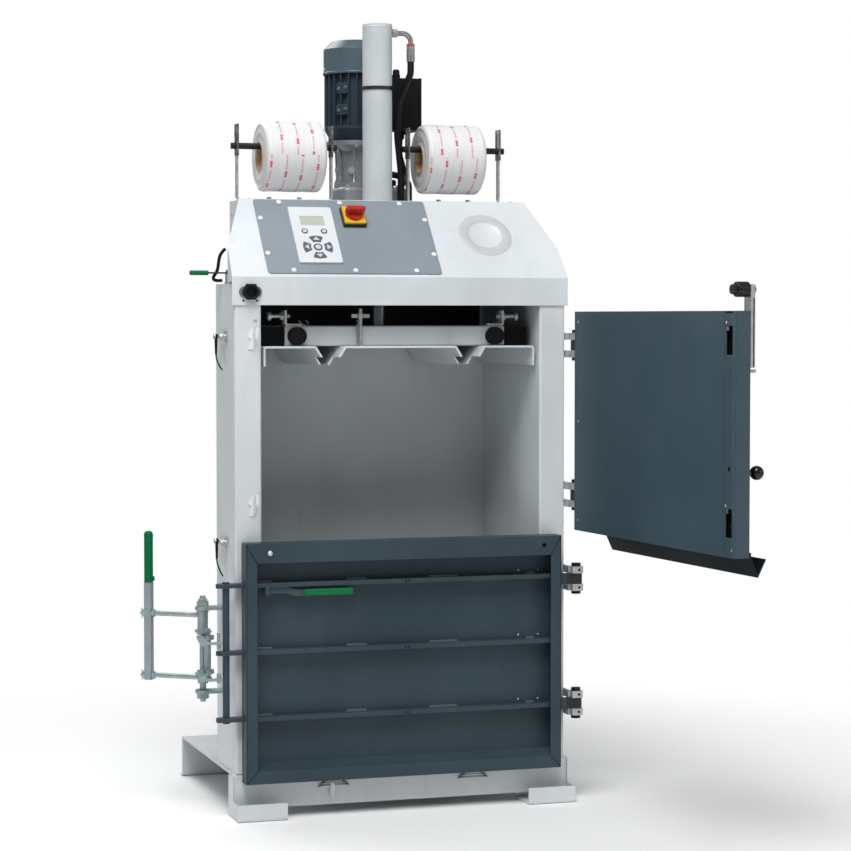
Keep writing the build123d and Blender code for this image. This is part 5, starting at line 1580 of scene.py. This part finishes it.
@dataclass
class StrapReels(Assembly):
    """Two strap rolls on rods held by bent forks."""

    centre_x: float = 0.212
    axis: Pair = (0.290, 1.6223)
    radius: float = 0.089
    half: float = 0.078
    core: float = 0.0371
    shoulder: Pair = (0.010, 0.009)
    side_wave: float = 0.0012
    strap: float = 0.0135
    lead: float = 0.0021
    shift: float = 0.0043
    facets: int = 120
    groove: float = 0.0006
    groove_start: float = 0.082
    swell: float = 0.0004
    swell_start: float = 0.08
    bar_top: float = 1.514
    bolt_xs: tuple[float, ...] = (-0.265, -0.186, 0.186, 0.265)

    def build(self) -> None:
        """Builds both rolls and dresses their holders."""
        shop = self.shop
        shop.dress(HOLDER_ZINC, "reel_holders")
        shop.dress(DARK_STEEL, "reel_rods")
        shop.dress(CardCore("card_core"), "roll_core_left", "roll_core_right")
        with shop.piece("holder_bolts", "frame", "zinc_steel", ZINC, smooth=35.0) as clips:
            clips.studs(UP, self.bolt_xs, self.axis[:1], (self.bar_top,), 0.0066, 0.0045, 0.0012)
        for side, x, seed in (("left", -self.centre_x, 0.0), ("right", self.centre_x, self.shift)):
            centre = (x, *self.axis)
            roll = MeshShop(f"wound_strap_{side}")
            self._wind(roll, Vector(centre), seed)
            finish = WoundStrap(roll.name, centre, self.strap, self.lead, seed, radius=self.radius)
            made = roll.build(f"roll_{side}", "strap_white", shop.finish(finish), 60.0, 0.0)
            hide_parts(f"strap_roll_{side}")

    def _profile(self) -> list[Pair]:
        """Section of a roll: slightly uneven sides and soft shoulders."""
        half, wave = self.half, self.side_wave
        width, drop = self.shoulder
        depth = self.radius - self.core - drop
        sides = [self.core + depth * i / 8 for i in range(9)]
        left = [(reach, -half + wave * math.sin(i * 9 / 8)) for i, reach in enumerate(sides)]
        right = [(reach, half - wave * math.sin(i)) for i, reach in enumerate(sides)]
        face = []
        for x in (-half + half * i / 20 for i in range(41)):
            edge = max(0.0, abs(x) - (half - width)) / width
            fall = 1 - math.sqrt(max(0.0, 1 - edge * edge))
            face.append((self.radius - drop * fall, x * 0.999))
        return [(self.core, -half + 0.001), *left, *face, *reversed(right), (self.core, half - 0.001)]

    def _wind(self, roll: MeshShop, centre: Vector, seed: float) -> None:
        """Winds one roll.

        Args:
            roll: Mesh to fill.
            centre: Middle of its axis.
            seed: Shift of the winding.
        """
        rings = []
        for radius, x in self._profile():
            groove = self.groove if radius > self.groove_start else 0.0
            swell = self.swell if radius > self.swell_start else 0.0
            points = []
            for turn in (math.tau * k / self.facets for k in range(self.facets)):
                lane = ((x + turn * self.lead + seed) / self.strap) % 1
                dip = groove * max(0.0, abs(lane - 0.5) - 0.38) / 0.12
                wave = swell * math.sin(3 * turn + 90 * x)
                reach = max(radius - dip + wave - self.swell, self.core)
                points.append(centre + Vector((x, reach * math.cos(turn), reach * math.sin(turn))))
            rings.append(roll.ring(points))
        roll.bridge([*rings, rings[0]])


@dataclass
class Platen(Assembly):
    """Pressing plate with its beam, buffers and guides."""

    spring: Pair = (-0.1010, 0.0505)
    coil: float = 0.0036
    wire: float = 0.0008
    levels: Pair = (1.1640, 1.2010)
    tails: Pair = (0.007, 0.006)
    pin_radius: float = 0.0013
    turns: int = 9
    clips: Pair = (-0.2520, -0.2330)
    clip_seat: Pair = (0.078, 1.193)
    eye: Pair = (0.006, 0.0075)
    loop: Pair = (0.0065, 0.0012)

    def build(self) -> None:
        """Dresses the platen and adds a guide spring and cable clips."""
        shop = self.shop
        shop.dress(PALE_GREY, "platen_frame", "pressing_plates")
        shop.dress(BLACK_RUBBER, "platen_buffers")
        shop.dress(ZINC, "platen_hardware")
        x, y = self.spring
        low, high = self.levels
        steps = self.turns * 12
        coils = []
        for k in range(steps + 1):
            spot = outwards(30 * k) * self.coil
            coils.append((x + spot.x, y + spot.y, low + (high - low) * k / steps))
        ends = (low - self.tails[0], high + self.tails[1])
        with shop.piece("guide_spring", "platen", "zinc_steel", ZINC, smooth=70.0) as spring:
            spring.tube([(x, y, ends[0]), *coils, (x, y, ends[1])], self.wire, 8)
            for level in ends:
                pin = [(x - 0.001, y + 0.0095, level), (x, y - 0.002, level)]
                spring.tube(pin, self.pin_radius, 10)
        with shop.piece("cable_clips", "platen", "zinc_steel", ZINC) as clips:
            radius, thickness = self.loop
            for place in self.clips:
                seat = facing(UP, (place, *self.clip_seat))
                clips.bolt(seat, 0.0050, 0.0036)
                eye = seat.moved(self.eye[0], 0.0, self.eye[1])
                turns = (0.8 * k for k in range(5))
                arc = [eye.at(radius * math.sin(a), 0.0, -radius * math.cos(a)) for a in turns]
                clips.tube(curve(arc, 4), thickness, 8)


@dataclass
class Doors(Assembly):
    """Both doors, their hinges, apron and latches."""

    along_door: Triple = (0.07324, -0.99731, 0.0)
    across_door: Triple = (0.99731, 0.07324, 0.0)
    liner: float = -0.020
    liner_start: float = 0.040
    liner_levels: Pair = (0.690, 1.226)
    liner_rivets: tuple[Pair, ...] = ((0.052, 0.712), (0.052, 0.958), (0.052, 1.204))
    apron_rivets: tuple[float, ...] = (0.150, 0.370, 0.590, 0.810)
    apron_level: float = 0.6925
    end: float = 0.847
    keeper: float = 0.823
    keeper_levels: Pair = (0.762, 1.165)
    keeper_x: float = -0.377
    keeper_outline: tuple[Pair, ...] = (
        (-0.0155, -0.0270),
        (-0.0020, -0.0285),
        (0.0110, -0.0040),
        (0.0110, 0.0180),
        (-0.0010, 0.0270),
        (-0.0165, 0.0060),
        (-0.0085, -0.0060),
    )
    groove: tuple[Pair, Pair] = ((0.0262, 1.107), (0.0288, 1.258))
    plug: Pair = (0.832, 1.277)
    plug_rings: tuple[float, ...] = (-0.016, -0.0115, -0.007, -0.0025)
    plug_ring: Pair = (0.0163, 0.0009)
    plug_ribs: int = 10
    plug_reach: float = 0.0168
    plug_cap: tuple[Pair, ...] = (
        (0.0, -0.0080),
        (0.0125, -0.0080),
        (0.0125, 0.0012),
        (0.0110, 0.0026),
        (0.0, 0.0026),
    )
    lower_front: float = -0.048
    lower_span: Pair = (-0.410, 0.400)
    lower_levels: Pair = (0.089, 0.672)
    stile: float = 0.028
    rails: Pair = (0.030, 0.048)
    rib_tops: Triple = (0.2500, 0.4120, 0.5745)
    rib_tabs: tuple[Pair, ...] = ((-0.378, -0.336), (-0.148, -0.097), (0.064, 0.137), (0.318, 0.340))
    rib_front: float = -0.036
    rib_rivets: tuple[Any, ...] = (FRONT, (0.300, 0.352), (-0.006,))
    notches: Pair = (-0.0055, 0.0030)
    rail_screw: Pair = (-0.350, 0.648)
    cut: float = 0.0001
    hinge_levels: tuple[float, ...] = (0.247, 0.561, 0.771, 1.146)
    screw_shifts: Pair = (-0.022, 0.022)
    screw_seats: tuple[tuple[Any, Pair], ...] = ((FRONT, (0.449, -0.043)), (RIGHT, (0.461, -0.028)))
    set_screw: tuple[Pair, ...] = (
        (0.0, 0.0),
        (0.0034, 0.0),
        (0.0034, 0.0006),
        (0.0016, 0.0006),
        (0.0016, 0.0001),
        (0.0, 0.0001),
    )

    def build(self) -> None:
        """Dresses the doors and adds their small parts."""
        shop = self.shop
        shop.dress(SLATE, "lower_door", "lower_door_ribs", "lock_bar")
        shop.dress(LINER_SLATE, "upper_door")
        # The apron takes darkened slate as painted shade, since it faces down.
        shop.dress(SHADED_SLATE, "door_apron")
        shop.dress(ZINC, "hinge_blocks", "interlock_strip")
        shop.dress(KEEPER_COAT, "keepers")
        shop.dress(DARK_STEEL, "hinge_bolts", "latch_bar")
        shop.dress(PLUG_PLASTIC, "interlock_plug")
        shop.dress(SOCKET_PLASTIC, "interlock_socket")
        shop.dress(BALL_GLOSS, "ball_knob")
        shop.dress(RELEASE_COAT, "release_lever")
        with shop.piece("keeper_plates", "frame", "body_paint", KEEPER_COAT, bevel=0.0005) as plates:
            for level in self.keeper_levels:
                face = facing(FRONT, (self.keeper_x, 0, level))
                plates.prism(face, self.keeper_outline, -0.0002, 0.0020)
                plates.dome(face.moved(-0.0105, 0.0010, 0.0020), 0.0034, 0.0014)
        self._frame_marks()
        self._ribs()
        with shop.piece("hinge_screws", "frame", "dark_steel", DARK_STEEL) as screws:
            for level, shift in product(self.hinge_levels, self.screw_shifts):
                for way, (x, y) in self.screw_seats:
                    screws.lathe(facing(way, (x, y, level + shift)), self.set_screw, 20)
        self._liner()
        self._interlock()

    def _open(self, s: float, t: float, z: float = 0.0) -> Vector:
        """Point of the open upper door, from its own along, across and height."""
        return Vector((*HINGE_AXIS, z)) + Vector(self.along_door) * s + Vector(self.across_door) * t

    def _frame_marks(self) -> None:
        """Adds the mitre grooves, the fold lines and the bright screw of the lower door's frame."""
        shop = self.shop
        front = facing(FRONT, (0, self.lower_front, 0))
        (left, right), (low, high) = self.lower_span, self.lower_levels
        with shop.piece("door_mitres", "lower_door", "door_paint", SEAM) as grooves:
            ends = ((low, self.rails[0], 1), (high, self.rails[1], -1))
            for (x, inward), (z, rail, up) in product(((left, 1), (right, -1)), ends):
                start = Vector((x + inward * 0.0012, z + up * 0.0012))
                stop = Vector((x + inward * self.stile, z + up * rail))
                side = (stop - start).normalized().orthogonal() * 0.0008
                outline = [start + side, start - side, stop - side, stop + side]
                grooves.prism(front, [tuple(corner) for corner in outline], 0.0, self.cut)
        with shop.piece("rail_screw", "lower_door", "zinc_steel", POLISHED_ZINC) as screw:
            screw.dome(front.moved(*self.rail_screw, 0.002), 0.0062, 0.0032)
        # The fold lines are painted shade in darkened slate.
        with shop.piece("door_fold_lines", "lower_door", "door_paint", SHADED_SLATE) as lines:
            for x in (left + 0.0030, right - 0.0030):
                lines.block(front, (x - 0.0005, low + 0.002, 0.0), (x + 0.0005, high - 0.002, self.cut))

    def _ribs(self) -> None:
        """Adds the tabs, drain notches and rivets of the ribs."""
        shop = self.shop
        with shop.piece("rib_tabs", "lower_door", "door_paint", RUBBED_SLATE, bevel=0.0003) as tabs:
            for top, (low, high) in product(self.rib_tops, self.rib_tabs):
                outline = [
                    (low, -0.0115),
                    (high, -0.0115),
                    (high - 0.003, -0.0062),
                    (low + 0.003, -0.0062),
                ]
                tabs.prism(facing(UP, (0, 0, top)), outline, -0.0002, 0.0042)
        front = facing(FRONT, (0, self.rib_front, 0))
        with shop.piece("rib_notches", "lower_door", "door_paint", SEAM) as notches:
            for top, x in product(self.rib_tops, self.notches):
                notches.block(front, (x, top - 0.0085, 0.0), (x + 0.0032, top - 0.0015, self.cut))
        with shop.piece("rib_rivets", "lower_door", "zinc_steel", ZINC) as rivets:
            levels = [top + 0.009 for top in self.rib_tops]
            rivets.studs(*self.rib_rivets, levels, 0.0028, 0.0012)

    def _liner(self) -> None:
        """Adds the marks, stops, screws and rivets of the upper door."""
        shop = self.shop
        face = facing(-Vector(self.across_door), self._open(0.0, self.liner))
        with shop.piece("liner_slot", "upper_door", "door_paint", SEAM) as slot:
            slot.block(face, (self.keeper - 0.017, 1.2245, 0.0), (self.keeper + 0.015, 1.2285, self.cut))
            low, high = self.liner_levels
            for s in (self.liner_start, self.keeper - 0.0215):
                slot.block(face, (s - 0.0003, low, 0.0), (s + 0.0003, high, 0.00006))
        with shop.piece("liner_stops", "upper_door", "zinc_steel", BRIGHT_STEEL, bevel=0.0004) as stops:
            for level in self.keeper_levels:
                low = (self.keeper - 0.014, level + 0.0215, -0.010)
                stops.block(face, low, (self.keeper - 0.004, level + 0.0310, -0.0005))
                stops.dome(face.moved(self.keeper - 0.013, level + 0.0385), 0.0032, 0.0016)
            stops.dome(face.moved(0.837, 0.7035), 0.0030, 0.0014)
            for place in self.liner_rivets:
                stops.dome(face.moved(*place), 0.0036, 0.0012)
        outer = facing(self.across_door, self._open(0.0, 0.020))
        with shop.piece("apron_rivets", "upper_door", "door_paint", LINER_SLATE) as rivets:
            for s in self.apron_rivets:
                rivets.dome(outer.moved(-s, self.apron_level, 0.0031), 0.0050, 0.0020)

    def _interlock(self) -> None:
        """Adds the groove of the strip and the ribs of the plug."""
        end = facing(self.along_door, self._open(self.end, 0.0))
        with self.shop.piece("strip_groove", "upper_door", "zinc_steel", SEAM) as groove:
            low, high = self.groove
            groove.block(end, (*low, 0.0), (*high, 0.0002))
        s, z = self.plug
        axis = facing(-Vector(self.across_door), self._open(s, 0.0, z))
        place = ("plug_ribs", "upper_door", "black_plastic", BLACK_PLASTIC)
        with self.shop.piece(*place, bevel=0.0003) as ribs:
            for height in self.plug_rings:
                ribs.torus(axis, *self.plug_ring, height)
            for k in range(self.plug_ribs):
                out = axis.turned(360 / self.plug_ribs * k).x
                spot = Plane(axis.origin + out * self.plug_reach, axis.z, axis.z.cross(out))
                ribs.block(spot, (0.0012, -0.0020, -0.0002), (0.0085, 0.0020, 0.0012))
            ribs.lathe(facing(self.across_door, self._open(s, 0.0335, z)), self.plug_cap, 6)


@dataclass
class ToggleLatch(Assembly):
    """Toggle on the left post that pulls the lower door shut."""

    axis: Pair = (-0.477, 0.127)
    weld_x: float = -0.4262
    brackets: Pair = (0.291, 0.497)
    bracket_thickness: float = 0.008
    crank: Pair = (-0.47179, 0.09746)
    crank_plates: Pair = (0.334, 0.446)
    claw_turn: float = -98.19
    claw_plates: Pair = (0.343, 0.431)
    claw_thickness: float = 0.006
    tooth: Pair = (0.1337, 0.016)
    tooth_radius: float = 0.0048
    cheek: float = 0.004
    collars: Triple = (0.3455, 0.4385, 0.4925)
    inner_nut: float = 0.1335
    handle_turn: float = 144.0
    rods: Pair = (0.330, 0.484)
    nut_end: float = 0.162
    grip: Pair = (-0.5943, 0.2122)
    grip_levels: Pair = (0.5605, 0.6778)
    crown: tuple[Pair, ...] = (
        (0.0100, -0.0070),
        (0.01125, -0.0060),
        (0.01135, -0.0010),
        (0.0107, 0.0035),
        (0.0090, 0.0070),
        (0.0058, 0.0094),
        (0.0, 0.0104),
    )
    shaft_top: tuple[Pair, ...] = (
        (0.0, 0.524),
        (0.0072, 0.524),
        (0.0072, 0.530),
        (0.0060, 0.532),
        (0.0, 0.532),
    )
    shaft_foot: tuple[Pair, ...] = (
        (0.0, 0.270),
        (0.0060, 0.270),
        (0.0072, 0.272),
        (0.0072, 0.279),
        (0.0, 0.279),
    )
    thread_end: tuple[Pair, ...] = (
        (0.0, -0.0005),
        (0.0050, -0.0005),
        (0.0050, 0.0035),
        (0.0040, 0.0045),
        (0.0, 0.0045),
    )
    split_pin: tuple[Triple, ...] = (
        (0.003, 0.013, 0.0015),
        (0.0, 0.004, 0.0015),
        (0.0, -0.007, 0.0015),
        (-0.004, -0.014, 0.0022),
    )
    tooth_end: tuple[Pair, ...] = (
        (0.0, 0.4560),
        (0.0046, 0.4560),
        (0.0046, 0.4585),
        (0.0034, 0.4605),
        (0.0, 0.4605),
    )

    def build(self) -> None:
        """Dresses the toggle and adds its grip ends, nuts, washers and pins."""
        shop = self.shop
        shop.dress(TINTED_ZINC, "toggle_mount", "toggle_handle", "toggle_claw")
        shop.dress(GREEN_PLASTIC, "toggle_grip")
        foot, crown = (facing(UP, (*self.grip, level)) for level in self.grip_levels)
        place = ("grip_end", "toggle_handle", "green_plastic", GREEN_PLASTIC)
        with shop.piece(*place, smooth=50.0, bevel=0.0012) as end:
            end.lathe(crown, self.crown, 32)
            end.torus(foot, 0.0108, 0.0013, 0.0030)
            end.block(foot, (0.0090, -0.0045, 0.0030), (0.0142, 0.0045, 0.0140))
        self._mount()
        self._handle()
        self._claw()

    def _mount(self) -> None:
        """Adds washers, a nut, shaft ends and weld beads to the brackets."""
        axis = facing(UP, (*self.axis, 0.0))
        low, high = self.brackets
        with self.shop.piece("toggle_nuts", "frame", "zinc_steel", TINTED_ZINC, smooth=35.0) as mount:
            for level in (low + self.bracket_thickness, high - 0.0016):
                mount.washer(axis, (0.0084, 0.0165), level, level + 0.0016)
            mount.hexagon(axis, 0.0125, 0.518, 0.525, 0.2)
            mount.lathe(axis, self.shaft_top, 24)
            mount.lathe(axis, self.shaft_foot, 24)
        with self.shop.piece("toggle_welds", "frame", "zinc_steel", TINTED_ZINC, smooth=70.0) as welds:
            for level, z in product(self.brackets, (-0.0003, self.bracket_thickness + 0.0003)):
                start = (self.weld_x, self.axis[1] - 0.017, level + z)
                welds.weld(start, (0, 0.034, 0), 0.0003, 0.0020)

    def _handle(self) -> None:
        """Adds thread ends, split pins, crank nuts and collars to the handle."""
        place = ("handle_nuts", "toggle_handle", "zinc_steel", TINTED_ZINC)
        with self.shop.piece(*place, smooth=35.0) as handle:
            for level in self.rods:
                spot = radial(self.axis, self.handle_turn, level, self.nut_end)
                handle.lathe(spot, self.thread_end, 20)
                handle.tube(curve((spot.at(*point) for point in self.split_pin), 5), 0.0012, 8)
                inner = radial(self.axis, self.handle_turn, level, self.inner_nut)
                handle.hexagon(inner, 0.0098, -0.0045, 0.0024, 0.4)
            for level, way in zip(self.crank_plates, (DOWN, UP)):
                handle.bolt(facing(way, (*self.crank, level)), 0.0092, 0.0065)
            collar = facing(UP, (*self.axis, 0.0))
            for level in self.collars:
                handle.washer(collar, (0.0134, 0.0146), level - 0.0025, level + 0.0020)

    def _claw(self) -> None:
        """Adds the cheeks, the hub rings and the short pins of the claw."""
        x, y = outwards(self.claw_turn), outwards(self.claw_turn + 90.0)
        hub = Plane(Vector((*self.crank, 0.0)), x, y)
        pin = hub.moved(*self.tooth)
        low, high = self.claw_plates
        inside = low + self.claw_thickness
        place = ("claw_cheeks", "toggle_claw", "zinc_steel", TINTED_ZINC)
        with self.shop.piece(*place, smooth=35.0, bevel=0.0006) as claw:
            for bottom, top in ((inside, inside + self.cheek), (high - self.cheek, high)):
                claw.washer(hub, (0.0086, 0.0160), bottom, top, 40)
                claw.block(hub, (0.0, -0.0262, bottom), (0.138, -0.0118, top))
            claw.disc(pin, self.tooth_radius, low - 0.004, low + 0.018, 24)
            claw.disc(pin, self.tooth_radius, high - 0.012, high + 0.001, 24)
            claw.lathe(pin, self.tooth_end, 24)


@dataclass
class SideFittings(Assembly):
    """Catches, rubber loops and the small hand lever."""

    strap: tuple[Triple, ...] = (
        (-0.4155, 0.1335, 1.3840),
        (-0.4225, 0.1335, 1.3765),
        (-0.4285, 0.1335, 1.3670),
        (-0.4320, 0.1335, 1.3530),
        (-0.4340, 0.1333, 1.3380),
        (-0.4385, 0.1325, 1.3255),
        (-0.4460, 0.1290, 1.3150),
        (-0.4465, 0.1230, 1.3080),
        (-0.4380, 0.1190, 1.3055),
        (-0.4270, 0.1180, 1.3060),
    )

    def build(self) -> None:
        """Dresses the fittings and adds the lever's rubber strap."""
        shop = self.shop
        shop.dress(ZINC, "side_fittings")
        shop.dress(BLACK_RUBBER, "catch_loops")
        shop.dress(SIDE_LEVER_COAT, "side_lever")
        with shop.piece("lever_strap", "side_lever", "black_rubber", BLACK_RUBBER, smooth=70.0) as strap:
            strap.tube(curve(self.strap, 6), 0.0041)


@dataclass
class Studio:
    """Camera, floor, backdrop and lamps."""

    camera_place: Triple = (-1.817, -5.875, 1.215)
    camera_yaw: float = 17.7
    camera_pitch: float = 2.472
    lens: float = 105.75
    sensor: float = 36.0
    sight: float = 200.0
    floor_half: float = 30.0
    floor_tones: Pair = (0.90, 0.92)
    fade_middle: float = 0.3
    fade: Pair = (0.95, 2.1)
    world_colour: Triple = (0.97, 0.985, 1.0)
    world_strength: float = 0.25
    lamps: tuple[tuple[str, Triple, Triple, float, float], ...] = (
        ("key_lamp", (-1.2, -2.6, 5.6), (0.0, 0.0, 1.2), 3.0, 300.0),
        ("fill_lamp", (3.6, -3.2, 2.2), (0.1, 0.1, 0.9), 2.4, 20.0),
        ("back_lamp", (-1.5, 3.5, 4.5), (0.0, 0.3, 0.9), 3.0, 115.0),
    )

    def build(self) -> None:
        """Sets up the studio."""
        bpy.context.scene.view_settings.view_transform = "Standard"
        self._camera()
        self._floor()
        self._world()
        for name, place, aim, size, power in self.lamps:
            data = bpy.data.lights.new(name, "AREA")
            data.energy = power
            data.size = size
            lamp = self._place(name, data, place)
            sight = Vector(aim) - Vector(place)
            lamp.rotation_euler = sight.to_track_quat("-Z", "Y").to_euler()

    def _place(self, name: str, data: bpy.types.ID, place: Triple) -> bpy.types.Object:
        """Adds an object with its data at a place."""
        made = bpy.data.objects.new(name, data)
        made.location = place
        bpy.context.scene.collection.objects.link(made)
        return made

    def _camera(self) -> None:
        """Places the camera of the photograph."""
        data = bpy.data.cameras.new("camera")
        data.lens = self.lens
        data.sensor_width = self.sensor
        data.sensor_fit = "HORIZONTAL"
        data.clip_end = self.sight
        camera = self._place("camera", data, self.camera_place)
        pitch, yaw = math.radians(90 - self.camera_pitch), math.radians(-self.camera_yaw)
        camera.rotation_euler = Euler((pitch, 0.0, yaw))
        bpy.context.scene.camera = camera

    def _floor(self) -> None:
        """Lays the floor, which fades to the white of the backdrop."""
        shader = Shader("studio_floor")
        far = shader.along(RIGHT).hypotenuse(shader.along(REAR, self.fade_middle)).ramp(*self.fade)
        dark, light = (grey(tone) for tone in self.floor_tones)
        shader.finish(shader.blend(shader.noise(40.0, 3.0), dark, light), 0.9)
        camera_ray = shader.node("ShaderNodeLightPath", result="Is Camera Ray")
        white = shader.node("ShaderNodeEmission", None, {"Color": grey(1.0), "Strength": 1.0})
        plain = Socket(shader, shader.principled.outputs[0])
        mixed = shader.node("ShaderNodeMixShader", None, {0: camera_ray * far, 1: plain, 2: white})
        shader.feed(shader.end.inputs[0], mixed)
        sheet = MeshShop("studio_floor")
        corners = ((-1, -1), (1, -1), (1, 1), (-1, 1))
        sheet.mesh.faces.new(sheet.ring((u * self.floor_half, v * self.floor_half, 0) for u, v in corners))
        data = bpy.data.meshes.new("studio_floor")
        sheet.mesh.to_mesh(data)
        sheet.mesh.free()
        data.materials.append(shader.material)
        floor = self._place("studio_floor", data, (0, 0, 0))

    def _world(self) -> None:
        """Sets a soft world that the camera sees as white."""
        world = bpy.data.worlds.new("studio_world")
        world.use_nodes = True
        tree = world.node_tree
        tree.nodes.clear()
        mix = tree.nodes.new("ShaderNodeMixShader")
        path = tree.nodes.new("ShaderNodeLightPath")
        tree.links.new(path.outputs["Is Camera Ray"], mix.inputs[0])
        tones = ((self.world_colour, self.world_strength), (grey(1.0), 1.0))
        for number, (colour, strength) in enumerate(tones, 1):
            light = tree.nodes.new("ShaderNodeBackground")
            light.inputs["Color"].default_value = (*colour, 1.0)
            light.inputs["Strength"].default_value = strength
            tree.links.new(light.outputs[0], mix.inputs[number])
        output = tree.nodes.new("ShaderNodeOutputWorld")
        tree.links.new(mix.outputs[0], output.inputs[0])
        bpy.context.scene.world = world


def main() -> None:
    """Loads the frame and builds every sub-assembly."""
    logging.basicConfig(level=logging.INFO, format="%(name)s %(message)s")
    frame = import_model()
    shop = Workshop(frame)
    Studio().build()
    for kind in (Bodywork, Console, PowerPack, StrapReels, Platen, Doors, ToggleLatch, SideFittings):
        kind(shop).build()


if __name__ == "__main__":
    main()
